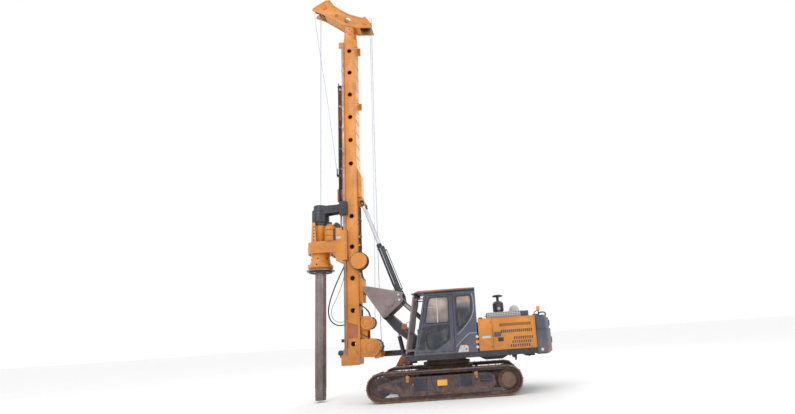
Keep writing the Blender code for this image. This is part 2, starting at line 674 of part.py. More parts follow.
def cab():
    """The cab's shell, its door, two panes, roof plate, front guard and seat."""
    windscreen = [(CAB_INNER_X + 0.07, 1.45), (CAB_OUTER_X - 0.07, 1.45),
                  (CAB_OUTER_X - 0.07, WINDSCREEN_TOP),
                  (CAB_INNER_X + 0.07, WINDSCREEN_TOP)]
    rear_window = [(CAB_INNER_X + 0.08, 1.98), (CAB_OUTER_X - 0.08, 1.98), (CAB_OUTER_X - 0.08, WINDOW_TOP),
                   (CAB_INNER_X + 0.08, WINDOW_TOP)]
    right_window = [(front_y(1.75) + 0.16, 1.75), (0.8, 1.75), (0.8, WINDOW_TOP),
                    (front_y(WINDOW_TOP) + 0.15, WINDOW_TOP)]
    hollow = prism("x", cab_profile(CAB_WALL, CAB_WALL, CAB_WALL), CAB_INNER_X + CAB_WALL,
                   CAB_OUTER_X - CAB_WALL)
    solid("cab_shell", BODY, prism("x", cab_profile(0, 0, 0), CAB_INNER_X, CAB_OUTER_X),
          cut=[hollow,
               prism("x", door_outline(0), CAB_OUTER_X - 0.1, CAB_OUTER_X + 0.001),
               prism("x", quarter_window(0), CAB_OUTER_X - 0.1, CAB_OUTER_X + 0.1),
               prism("x", right_window, CAB_INNER_X - 0.1, CAB_INNER_X + 0.1),
               prism("y", windscreen, -1.0, 0.0),
               prism("y", rear_window, CAB_REAR - 0.1, CAB_REAR + 0.1)],
          add=[block((CAB_OUTER_X - 0.01, CAB_OUTER_X + 0.03), (DOOR_REAR - 0.03, DOOR_REAR + 0.04),
                     (CAB_FLOOR + 0.12, CAB_FLOOR + 0.16 - THRUST_GAP))])
    pivot = (CAB_OUTER_X + 0.01, DOOR_REAR - 0.03, CAB_FLOOR + 0.06)
    inner = CAB_OUTER_X - CAB_WALL
    hinge = turned(pivot, (0, 0, 1), [(0.1, 0.018), (CAB_HEIGHT - 0.25, 0.018)], PIN_SIDES)
    solid("cab_door", BODY, prism("x", door_outline(DOOR_GAP), inner, CAB_OUTER_X), pivot, add=[hinge],
          cut=[prism("x", door_window(0), inner - 0.1, CAB_OUTER_X + 0.1),
               prism("x", lower_window(0), inner - 0.1, CAB_OUTER_X + 0.1)])
    middle = CAB_OUTER_X - CAB_WALL / 2
    left = (middle - GLASS / 2, middle + GLASS / 2)
    solid("door_glass", WINDOW, prism("x", door_window(GAP), *left), pivot)
    screen_side = (CAB_INNER_X + 0.07 + GAP, CAB_OUTER_X - 0.07 - GAP)
    low, high, back = 1.45 + GAP, WINDSCREEN_TOP - GAP, CAB_WALL / 2
    screen = [(front_y(low) + back, low), (front_y(low) + back + GLASS, low),
              (front_y(high) + back + GLASS, high),
              (front_y(high) + back, high)]
    solid("windscreen", WINDOW, prism("x", screen, *screen_side))

    plate_low = CAB_TOP + 0.03
    spacers = [block((x - 0.03, x + 0.03), (y - 0.05, y + 0.05), (CAB_TOP + GAP, plate_low + 0.01))
               for x in (CAB_INNER_X + 0.1, CAB_OUTER_X - 0.1) for y in (-0.25, 0.7)]
    roof = [(-0.74, plate_low - 0.03), (0.93, plate_low), (0.93, plate_low + 0.035),
            (-0.6, plate_low + 0.035)]
    solid("roof_guard", BODY, prism("x", roof, CAB_INNER_X - 0.005, CAB_OUTER_X + 0.03),
          add=[joined(*spacers)])
    front_guard()
    seat()


def front_guard():
    """The barred screen that stands off the front of the cab."""
    low, high = FRAME_TOP + 0.07, CAB_TOP - 0.07
    left, right = CAB_OUTER_X - 0.05, CAB_INNER_X + 0.05
    tube = 0.025
    foot = (front_y(low) - GUARD_REACH, low)
    head = (front_y(high) - GUARD_REACH - 0.06, high)

    def bar(x, share_low=0.0, share_high=1.0, radius=tube):
        start, end = between(foot, head, share_low), between(foot, head, share_high)
        return rod((x, *start), (x, *end), radius, WIRE_SIDES)

    rails = []
    for share in (0.0, 0.35, 1.0):
        rails.append(cross_rod(between(foot, head, share), tube * 0.8, right - 0.01, left + 0.01,
                               WIRE_SIDES))
    bars = []
    for number in range(9):
        bars.append(bar(right + (left - right) * (number + 1) / 10, 0.0, 1.0, 0.008))
    stays, feet = [], []
    for x in (left, right):
        for share, z in ((0.05, low + 0.06), (0.95, high - 0.06)):
            start = (x, *between(foot, head, share))
            stays.append(rod(start, (x, front_y(z) - 0.006, z), tube * 0.7, WIRE_SIDES))
            face = [(front_y(z + rise) - GAP, z + rise) for rise in (-0.04, 0.04)]
            back = [(y - 0.012, height) for y, height in reversed(face)]
            feet.append(prism("x", face + back, x - 0.03, x + 0.03))
    posts = joined(bar(right), *bars)
    solid("front_guard", DIRTY, bar(left), add=[joined(*rails), posts, joined(*stays), joined(*feet)])


def seat():
    """The driver's seat between its two consoles."""
    floor = CAB_FLOOR + CAB_WALL + GAP
    middle = (CAB_INNER_X + CAB_OUTER_X) / 2
    side = [(0.0, floor), (0.5, floor), (0.5, floor + 0.4), (0.62, floor + 1.12), (0.52, floor + 1.14),
            (0.4, floor + 0.55), (-0.08, floor + 0.5), (-0.08, floor + 0.38), (0.0, floor + 0.38)]
    console = [(-0.15, floor), (0.4, floor), (0.4, floor + 0.55), (-0.15, floor + 0.6)]
    consoles = joined(*[prism("x", rounded(console, 0.03), low, low + 0.12)
                        for low in (middle + 0.255, middle - 0.375)])
    base = block((middle - 0.3, middle + 0.3), (0.0, 0.3), (floor, floor + 0.1))
    solid("driver_seat", BLACK_PAINT, prism("x", rounded(side, 0.04), middle - 0.24, middle + 0.24),
          add=[base, consoles])


# ================================================================== front linkage
def at(place, x=0.0):
    """A (y, z) place as a point."""
    return (x, *place)


def lower_boom():
    """The two-plate boom, closed along its top."""
    half, plate = BOOM_HALF_WIDTH, BOOM_PLATE
    side = hull([(*BOOM_FOOT, 0.12), (*BOOM_HEAD, 0.11), (*LIFT_EYE, 0.09)])
    foot_reach, head_reach = TOWER_INSIDE - THRUST_GAP, TRIANGLE_INSIDE - THRUST_GAP
    sleeves = joined(cross_rod(BOOM_FOOT, 0.085, -foot_reach, foot_reach, BAR_SIDES),
                     cross_rod(BOOM_HEAD, 0.075, -head_reach, head_reach, BAR_SIDES))
    along = Vector(BOOM_HEAD) - Vector(BOOM_FOOT)
    up = Vector((along.y, -along.x)).normalized()
    foot, head = Vector(BOOM_FOOT) + up * 0.085, Vector(BOOM_HEAD) + up * 0.085
    cover = [tuple(foot), tuple(head), tuple(head + up * 0.02), tuple(foot + up * 0.02)]
    bores = joined(cross_rod(BOOM_FOOT, bore_radius(PIN_RADIUS, PIN_SIDES), -0.5, 0.5),
                   cross_rod(BOOM_HEAD, bore_radius(PIN_RADIUS, PIN_SIDES), -0.5, 0.5))
    lift_pin = cross_rod(LIFT_EYE, 0.022, -half + 0.01, half - 0.01)
    solid("lower_boom", BLACK_PAINT, prism("x", side, half - plate, half), at(BOOM_FOOT),
          add=[mirrored(prism("x", side, half - plate, half)), sleeves,
               prism("x", cover, -half + 0.01, half - 0.01),
               lift_pin],
          cut=[bores])


def upper_link():
    """The upper bar of the parallelogram."""
    side = hull([(*LINK_FOOT, 0.065), (*LINK_HEAD, 0.065)])
    foot_reach = TOWER_INSIDE - THRUST_GAP
    eyes = joined(cross_rod(LINK_FOOT, 0.08, -foot_reach, foot_reach),
                  cross_rod(LINK_HEAD, 0.08, -LINK_HALF_WIDTH - 0.005, LINK_HALF_WIDTH + 0.005))
    bores = joined(cross_rod(LINK_FOOT, bore_radius(SMALL_PIN_RADIUS, PIN_SIDES), -0.5, 0.5),
                   cross_rod(LINK_HEAD, bore_radius(SMALL_PIN_RADIUS, PIN_SIDES), -0.5, 0.5))
    solid("upper_link", BLACK_PAINT, prism("x", side, -LINK_HALF_WIDTH, LINK_HALF_WIDTH), at(LINK_FOOT),
          add=[eyes], cut=[bores])


def triangle():
    """The triangular carrier of the mast: two plates, a cross tube and four pins."""
    low, high = TRIANGLE_INSIDE, TRIANGLE_INSIDE + TRIANGLE_PLATE
    side = hull([(*MAST_PIN, 0.1), (*TILT_BASE, 0.1), (*LINK_HEAD, 0.1), (*BOOM_HEAD, 0.1)])
    pins = [(MAST_PIN, PIN_RADIUS), (BOOM_HEAD, PIN_RADIUS), (LINK_HEAD, SMALL_PIN_RADIUS),
            (TILT_BASE, SMALL_PIN_RADIUS)]
    solid("mast_triangle", DIRTY, prism("x", side, low, high), at(BOOM_HEAD),
          add=[mirrored(prism("x", side, low, high)),
               cross_rod(CROSS_TUBE, 0.12, -high + 0.01, high - 0.01, WHEEL_SIDES),
               both_sides(cross_rod(CROSS_TUBE, 0.17, high - 0.01, high + 0.02, WHEEL_SIDES)),
               joined(*[cross_rod(place, radius, -high - 0.015, high + 0.015) for place, radius in pins])])


def cylinder_parts(x, base, eye, sizes):
    """A barrel with its bore and a rod with its piston, between a base and an eye."""
    barrel_radius, rod_radius, barrel_length, rod_length, foot = sizes
    along = (Vector(at(eye, x)) - Vector(at(base, x))).normalized()
    bore = barrel_radius - CYLINDER_WALL
    origin = at(base, x)
    barrel = [(foot, 0.0), (foot, barrel_radius), (barrel_length, barrel_radius), (barrel_length, 0.0)]
    hollow = [(foot + CYLINDER_END, 0.0), (foot + CYLINDER_END, bore), (barrel_length - 0.05, bore),
              (barrel_length - 0.05, rod_radius + GAP), (barrel_length + 0.1, rod_radius + GAP),
              (barrel_length + 0.1, 0.0)]
    length = (Vector(at(eye, x)) - Vector(origin)).length
    inner_end = length - rod_length
    rod_profile = [(inner_end, 0.0), (inner_end, bore - GAP), (inner_end + PISTON, bore - GAP),
                   (inner_end + PISTON, rod_radius), (length - 0.02, rod_radius), (length - 0.02, 0.0)]
    return (turned(origin, along, barrel, BAR_SIDES), turned(origin, along, hollow, BAR_SIDES),
            turned(origin, along, rod_profile, BAR_SIDES))


def tilt_cylinders():
    """The two mast cylinders, each on a cross block so that it can follow both tilts."""
    along = (Vector(at(TILT_EYE)) - Vector(at(TILT_BASE))).normalized()
    lean = along.cross(Vector((1, 0, 0)))
    for side, x in (("left", TILT_CYLINDER_X), ("right", -TILT_CYLINDER_X)):
        base = Vector(at(TILT_BASE, x))
        sizes = (TILT_BARREL_RADIUS, TILT_ROD_RADIUS, TILT_BARREL_LENGTH, TILT_ROD_LENGTH, 0.115)
        barrel, hollow, rod_shape = cylinder_parts(x, TILT_BASE, TILT_EYE, sizes)
        trunnion = rod(base - lean * 0.096, base + lean * 0.096, 0.022)
        shoulder = 0.068 - THRUST_GAP
        shoulders = rod(base - lean * shoulder, base + lean * shoulder, 0.036)
        out = 1 if x > 0 else -1
        reach = sorted((x - out * 0.055, out * (TRIANGLE_INSIDE - THRUST_GAP)))
        solid(f"tilt_block_{side}", IRON, cross_rod(TILT_BASE, 0.055, *reach), tuple(base),
              add=[shoulders, trunnion],
              cut=[cross_rod(TILT_BASE, bore_radius(SMALL_PIN_RADIUS, PIN_SIDES), x - 0.2, x + 0.2)])
        cheek_bores = rod(base - lean * 0.2, base + lean * 0.2, bore_radius(0.022, PIN_SIDES))
        cheeks = []
        for direction in (-1, 1):
            near, far = base + lean * direction * 0.068, base + lean * direction * 0.095
            cheeks.append(cheek(near, far, along, 0.04, 0.14))
        solid(f"tilt_barrel_{side}", BLACK_PAINT, barrel, tuple(base),
              add=[foot_pad(base, along, lean, 0.105, 0.14), joined(*cheeks)], cut=[cheek_bores, hollow],
              smooth=True)
        eye = cross_rod(TILT_EYE, 0.05, x - 0.035, x + 0.035)
        solid(f"tilt_rod_{side}", BRIGHT_ROD, rod_shape, at(TILT_EYE, x), add=[eye], smooth=True)


def cheek(near, far, along, half, reach):
    """A flat ear from beside the trunnion out to the barrel's foot."""
    across = (far - near).normalized().cross(along)
    corners = []
    for base in (near, far):
        corners += [base - along * half - across * half, base - along * half + across * half,
                    base + along * reach + across * half, base + along * reach - across * half]
    faces = [(0, 1, 2, 3), (4, 7, 6, 5), (0, 4, 5, 1), (1, 5, 6, 2), (2, 6, 7, 3), (3, 7, 4, 0)]
    return outward([tuple(corner) for corner in corners], faces)


def foot_pad(base, along, lean, low, high):
    """The block at the barrel's foot that joins its two ears."""
    across = lean.cross(along)
    corners = []
    for distance in (low, high):
        for a, b in ((-1, -1), (1, -1), (1, 1), (-1, 1)):
            corners.append(base + along * distance + lean * a * 0.094 + across * b * 0.045)
    faces = [(0, 3, 2, 1), (4, 5, 6, 7), (0, 1, 5, 4), (1, 2, 6, 5), (2, 3, 7, 6), (3, 0, 4, 7)]
    return outward([tuple(corner) for corner in corners], faces)


def lift_cylinder():
    """The single cylinder under the boom."""
    sizes = (LIFT_BARREL_RADIUS, LIFT_ROD_RADIUS, LIFT_BARREL_LENGTH, LIFT_ROD_LENGTH, 0.04)
    barrel, hollow, rod_shape = cylinder_parts(0.0, LIFT_BASE, LIFT_EYE, sizes)
    solid("lift_barrel", BLACK_PAINT, barrel, at(LIFT_BASE),
          add=[cross_rod(LIFT_BASE, 0.055, -0.075 + THRUST_GAP, 0.075 - THRUST_GAP)],
          cut=[hollow,
               cross_rod(LIFT_BASE, bore_radius(SMALL_PIN_RADIUS, PIN_SIDES), -0.2, 0.2)], smooth=True)
    solid("lift_rod", BRIGHT_ROD, rod_shape, at(LIFT_EYE), add=[cross_rod(LIFT_EYE, 0.06, -0.045, 0.045)],
          cut=[cross_rod(LIFT_EYE, 0.043, -0.2, 0.2)], smooth=True)


def knuckle():
    """The cross block between triangle and mast: a sleeve across and a pin forward."""
    y, z = MAST_PIN
    reach = TRIANGLE_INSIDE - THRUST_GAP
    face = -KNUCKLE_FACE + y - THRUST_GAP
    sleeve = cross_rod(MAST_PIN, 0.095, -reach, reach, WHEEL_SIDES)
    forward = turned((0, y, z), (0, -1, 0),
                     [(0.0, 0.12), (face, 0.12), (face, 0.06), (-MAST_REAR + y - 0.01, 0.06)])
    solid("mast_knuckle", PAINT, sleeve, at(MAST_PIN), add=[forward],
          cut=[cross_rod(MAST_PIN, bore_radius(PIN_RADIUS, PIN_SIDES), -0.5, 0.5)])


# ================================================================== mast
def hole_heights():
    """The heights of the round holes through the mast's sides."""
    lower = [LOWER_HOLE_FIRST + LOWER_HOLE_PITCH * number for number in range(LOWER_HOLE_COUNT)]
    return lower + [UPPER_HOLE_FIRST + UPPER_HOLE_PITCH * number for number in range(UPPER_HOLE_COUNT)]


def mast():
    """The box mast with its guide rail, foot and rear brackets."""
    half, wall = MAST_HALF_WIDTH, MAST_WALL
    middle = (MAST_FRONT + MAST_REAR) / 2
    inside = block((-half + wall, half - wall), (MAST_FRONT + wall, MAST_REAR - wall),
                   (MAST_BOTTOM + 0.03, MAST_TOP - 0.03))
    holes = joined(*[cross_rod((middle, z), HOLE_RADIUS, -half - 0.1, half + 0.1) for z in hole_heights()])
    rail = block((-RAIL_HALF_WIDTH, RAIL_HALF_WIDTH), (RAIL_FRONT, MAST_FRONT + 0.004),
                 (1.25, MAST_TOP - 0.13))
    foot = rounded([(-2.94, 0.95), (MAST_REAR, 0.95), (MAST_REAR, 1.2), (-2.6, 1.42), (-2.86, 1.42),
                    (-2.94, 1.3)], 0.04)
    foot_plates = both_sides(prism("x", foot, half - 0.01, half + 0.03))
    knuckle_bracket = block((-0.17, 0.17), (MAST_REAR - 0.005, KNUCKLE_FACE), (2.7, 3.37))
    housing = rounded([(MAST_REAR - 0.005, 5.9), (-2.31, 5.9), (-2.31, 6.6), (MAST_REAR - 0.005, 6.84)],
                      0.02)
    ear = rounded([(MAST_REAR - 0.005, 5.64), (-2.25, 5.64), (-2.24, 5.8), (-2.32, 5.94),
                   (MAST_REAR - 0.005, 5.94)], 0.03)
    pin_bore = turned((0, -2.2, MAST_PIN[1]), (0, -1, 0), [(0.0, bore_radius(0.06, WHEEL_SIDES)),
                                                         (-MAST_REAR - 2.2 - 0.002,
                                                          bore_radius(0.06, WHEEL_SIDES))])
    solid("mast", PAINT, block((-half, half), (MAST_FRONT, MAST_REAR), (MAST_BOTTOM, MAST_TOP)),
          at(MAST_PIN),
          add=[rail, foot_plates, knuckle_bracket, prism("x", housing, -0.16, 0.16),
               prism("x", ear, -0.1, 0.1)],
          cut=[inside, holes, pin_bore])


def head_outline():
    """The side outline of the mast head, a bent box that points up at the front."""
    above = [(-3.83, 1.24), (-3.80, 1.32), (-3.58, 1.46), (-3.38, 1.58), (-3.24, 1.59), (-3.10, 1.37),
             (-2.91, 1.21), (-2.62, 1.0), (-2.32, 0.87), (-2.14, 0.81), (-2.066, 0.851), (-1.91, 0.64),
             (-1.852, 0.42), (-2.393, 0.453), (-2.88, 0.62), (-3.186, 0.849), (-3.5, 1.08)]
    return [(y, MAST_TOP + height) for y, height in above]


def mast_head():
    """The head: two side plates on a pedestal, with a floor between them and the sheave axles."""
    half, plate = HEAD_HALF_WIDTH, HEAD_PLATE
    outline = head_outline()
    pedestal = block((-half + 0.02, half - 0.02), (-2.74, -2.46), (MAST_TOP + GAP, MAST_TOP + 0.67))
    above = [(-3.42, 1.03), (-3.186, 0.86), (-2.88, 0.63), (-2.393, 0.463), (-2.25, 0.455), (-2.25, 0.485),
             (-2.38, 0.493), (-2.87, 0.66), (-3.17, 0.885), (-3.40, 1.055)]
    floor = [(y, MAST_TOP + height) for y, height in above]
    axles = [cross_rod(place, 0.03, -half + 0.01, half - 0.01)
             for place in (FRONT_SHEAVE, REAR_SHEAVE)]
    holes = joined(cross_rod((-2.66, MAST_TOP + 0.78), 0.11, -0.3, 0.3, BAR_SIDES),
                   cross_rod((-3.0, MAST_TOP + 0.97), 0.06, -0.3, 0.3))
    solid("mast_head", PAINT, prism("x", outline, half - plate, half), at(MAST_PIN),
          add=[mirrored(prism("x", outline, half - plate, half)),
               prism("x", floor, -half + 0.01, half - 0.01),
               pedestal, joined(*axles)], cut=[holes])


def sheave(name, place, radius, half, x, bore):
    """A grooved wheel on an axle across the mast head."""
    hub = HEAD_HALF_WIDTH - HEAD_PLATE - THRUST_GAP
    outer = [(-hub, 0.0), (-hub, 0.05), (-half, 0.06), (-half, radius), (-half * 0.2, radius - 0.025)]
    outer += [(-distance, size) for distance, size in reversed(outer)]
    shaft = cross_rod(place, bore_radius(bore, PIN_SIDES), x - 0.2, x + 0.2)
    solid(name, IRON, turned(at(place, x), (1, 0, 0), outer), at(place, x), cut=[shaft], smooth=True)


def winch_shapes(place, drum_half, radius, cover):
    """Two side plates, the gearbox cover on the left, the motor on the right, and the bore."""
    y, z = place
    plate = 0.025
    foot_y = MAST_REAR + GAP + 0.05
    side = hull([(y, z, radius), (foot_y, z - 0.8 * radius, 0.05), (foot_y, z + 0.8 * radius, 0.05)])
    low = drum_half + RUNNING_GAP
    reach = low + plate
    gearbox = turned(at(place), (1, 0, 0),
                     [(reach - 0.01, cover), (reach + 0.05, cover), (reach + 0.07, cover - 0.02),
                                            (reach + 0.075, cover * 0.45), (reach + 0.085, cover * 0.42)])
    motor = turned(at(place), (-1, 0, 0), [(reach - 0.01, cover * 0.55), (reach + 0.1, cover * 0.5)],
                   BAR_SIDES)
    bore = cross_rod(place, bore_radius(0.05, PIN_SIDES), -low - plate / 2, low + plate / 2)
    return [both_sides(prism("x", side, low, reach)), gearbox, motor], bore


def drum(name, place, drum_half, flange, core):
    """A winch drum with two flanges and its stub shafts."""
    end = drum_half + RUNNING_GAP + 0.01
    profile = [(-end, 0.0), (-end, 0.05), (-drum_half, 0.05), (-drum_half, flange),
               (-drum_half + 0.016, flange),
               (-drum_half + 0.016, core)]
    profile += [(-distance, radius) for distance, radius in reversed(profile)]
    solid(name, IRON, turned(at(place), (1, 0, 0), profile), at(place), smooth=True)


def winches():
    """The main and auxiliary winches behind the mast and the service winch on its left side."""
    base_y = MAST_REAR + GAP
    base = block((-0.3, 0.3), (base_y, base_y + 0.03), (MAIN_WINCH[1] - 0.25, AUX_WINCH[1] + 0.19))
    main_shapes, main_bore = winch_shapes(MAIN_WINCH, 0.24, 0.25, 0.262)
    aux_shapes, aux_bore = winch_shapes(AUX_WINCH, 0.17, 0.19, 0.2)
    solid("winch_frame", PAINT, base, at(MAIN_WINCH), add=main_shapes + aux_shapes,
          cut=[main_bore, aux_bore])
    drum("main_winch_drum", MAIN_WINCH, 0.24, 0.22, 0.15)
    drum("aux_winch_drum", AUX_WINCH, 0.17, 0.17, 0.11)
    y, z = SERVICE_WINCH
    base = block((MAST_HALF_WIDTH + GAP, 0.25), (-2.6, y + 0.08), (z - 0.14, z + 0.14))
    cover = turned((0, y, z), (1, 0, 0), [(0.41, 0.24), (0.45, 0.24), (0.465, 0.22), (0.47, 0.1)])
    solid("service_winch_case", PAINT, base, at(SERVICE_WINCH),
          add=[cross_rod(SERVICE_WINCH, 0.04, 0.24, 0.43), cover])
    shaft = bore_radius(0.04, PIN_SIDES)
    hub = 0.25 + THRUST_GAP
    profile = [(hub, 0.0), (hub, 0.07), (0.262, 0.07), (0.262, 0.265), (0.278, 0.265), (0.278, 0.15),
               (0.384, 0.15), (0.384, 0.265),
               (0.4, 0.265), (0.4, 0.0)]
    solid("service_winch_drum", IRON, turned((0, y, z), (1, 0, 0), profile), at(SERVICE_WINCH),
          cut=[cross_rod(SERVICE_WINCH, shaft, 0.2, 0.5)], smooth=True)


# ================================================================== crowd, rotary drive, kelly
def crowd_cylinder():
    """The long cylinder on the mast's front that pushes and pulls the rotary drive."""
    y = CROWD_Y
    barrel = [(CROWD_BOTTOM, 0.0), (CROWD_BOTTOM, CROWD_RADIUS), (CROWD_TOP, CROWD_RADIUS),
              (CROWD_TOP, 0.0)]
    rail = RAIL_FRONT - GAP
    saddles = joined(*[block((-0.05, 0.05), (y, rail), (z, z + 0.1)) for z in (6.9, 8.2, 9.6)])
    bracket = block((-0.09, 0.09), (y - 0.08, rail), (5.83, CROWD_BOTTOM + 0.02))
    hollow = [(CROWD_BOTTOM, 0.0), (CROWD_BOTTOM, CROWD_BORE), (CROWD_TOP - 0.05, CROWD_BORE),
              (CROWD_TOP - 0.05, 0.0)]
    mouth = [(5.7, 0.0), (5.7, CROWD_ROD_RADIUS + PAD_GAP),
             (CROWD_BOTTOM + 0.01, CROWD_ROD_RADIUS + PAD_GAP),
             (CROWD_BOTTOM + 0.01, 0.0)]
    solid("crowd_cylinder", PAINT, turned((0, y, 0), (0, 0, 1), barrel, BAR_SIDES), add=[saddles, bracket],
          cut=[turned((0, y, 0), (0, 0, 1), hollow, BAR_SIDES),
               turned((0, y, 0), (0, 0, 1), mouth, BAR_SIDES)])
    foot, top = CARRIAGE_TOP + GAP, CROWD_TOP - 0.2
    profile = [(foot, 0.0), (foot, 0.055), (foot + 0.09, 0.055), (foot + 0.1, CROWD_ROD_RADIUS),
               (top, CROWD_ROD_RADIUS), (top, CROWD_BORE - GAP), (top + 0.05,
                                                                  CROWD_BORE - GAP), (top + 0.05, 0.0)]
    solid("crowd_rod", BRIGHT_ROD, turned((0, y, 0), (0, 0, 1), profile, BAR_SIDES), (0, y, foot),
          smooth=True)


def claws(low, high, front):
    """The left-hand claw that reaches round the guide rail, and its pad."""
    lip = MAST_HALF_WIDTH + RUNNING_GAP
    edge = RAIL_HALF_WIDTH + RUNNING_GAP
    outline = [(edge, front), (edge, MAST_FRONT + RUNNING_GAP), (lip, MAST_FRONT + RUNNING_GAP),
               (lip, -2.71),
               (CARRIAGE_HALF_WIDTH, -2.71), (CARRIAGE_HALF_WIDTH, front)]
    return prism("z", outline, low, high)


def rotary_drive():
    """The carriage with its claws and gear case, the two reducers and the turning sleeve."""
    half = CARRIAGE_HALF_WIDTH
    pads = both_sides(block((0.12, RAIL_HALF_WIDTH - 0.02), (CARRIAGE_REAR - 0.01, RAIL_FRONT - PAD_GAP),
                            (CARRIAGE_BOTTOM + 0.05, CARRIAGE_TOP - 0.1)))
    case = hull([(0, KELLY_Y, GEAR_CASE_RADIUS)], 6)
    case = [point for point in case if point[1] < KELLY_Y + 0.001]
    case = sorted(case)
    case = case + [(0.34, CARRIAGE_FRONT + 0.02), (-0.34, CARRIAGE_FRONT + 0.02)]
    post = [(-3.79, GEAR_CASE_TOP - 0.02), (-3.64, GEAR_CASE_TOP - 0.02), (-3.68, 5.15), (-3.77, 5.15)]
    gusset = [(CARRIAGE_FRONT + 0.02, CARRIAGE_BOTTOM + 0.03),
              (CARRIAGE_FRONT + 0.02, GEAR_CASE_BOTTOM + 0.02),
              (-3.18, GEAR_CASE_BOTTOM + 0.02)]
    bore = bore_radius(SLEEVE_RADIUS, WHEEL_SIDES)
    solid("rotary_carriage", PAINT,
          block((-half, half), (CARRIAGE_FRONT, CARRIAGE_REAR), (CARRIAGE_BOTTOM, CARRIAGE_TOP)),
          (0, CROWD_Y, CARRIAGE_BOTTOM),
          add=[pads, both_sides(claws(CARRIAGE_BOTTOM, CARRIAGE_TOP - 0.08, CARRIAGE_REAR - 0.02)),
               prism("z", case, GEAR_CASE_BOTTOM, GEAR_CASE_TOP), both_sides(prism("x", post, 0.24, 0.3)),
               both_sides(prism("x", gusset, 0.26, 0.3))],
          cut=[turned((0, KELLY_Y, 4.0), (0, 0, 1), [(0, bore), (1.2, bore)])])
    low = GEAR_CASE_TOP + GAP
    reducer = [(0.0, 0.0), (0.0, REDUCER_RADIUS), (0.15, REDUCER_RADIUS), (0.155, REDUCER_RADIUS - 0.012),
               (0.17, REDUCER_RADIUS - 0.012), (0.175, REDUCER_RADIUS), (0.33, REDUCER_RADIUS),
               (0.335, REDUCER_RADIUS - 0.012), (0.35, REDUCER_RADIUS - 0.012), (0.355,
                                                                                 REDUCER_RADIUS - 0.003),
               (0.44, REDUCER_RADIUS - 0.01), (0.49, 0.12), (0.52, 0.06), (0.54, 0.05), (0.54, 0.0)]
    for side, x in (("left", REDUCER_X), ("right", -REDUCER_X)):
        solid(f"reducer_{side}", PAINT, turned((x, REDUCER_Y, low), (0, 0, 1), reducer), smooth=True)
    sleeve = [(DRIVE_BOTTOM, DRIVE_BORE), (DRIVE_BOTTOM, 0.195), (3.705, 0.195), (3.705, FLANGE_RADIUS),
              (3.73, FLANGE_RADIUS), (3.735, 0.3), (3.78, 0.34), (3.80, 0.36), (3.85, 0.365), (3.95, 0.3),
              (4.03, 0.27), (4.12, 0.265), (GEAR_CASE_BOTTOM - THRUST_GAP, 0.265),
              (GEAR_CASE_BOTTOM - THRUST_GAP, SLEEVE_RADIUS), (GEAR_CASE_TOP + 0.01, SLEEVE_RADIUS),
              (GEAR_CASE_TOP + 0.02, 0.185), (DRIVE_TOP, 0.185), (DRIVE_TOP, DRIVE_BORE)]
    solid("kelly_drive", PAINT, turned((0, KELLY_Y, 0), (0, 0, 1), sleeve, closed=True),
          (0, KELLY_Y, DRIVE_BOTTOM), smooth=True)


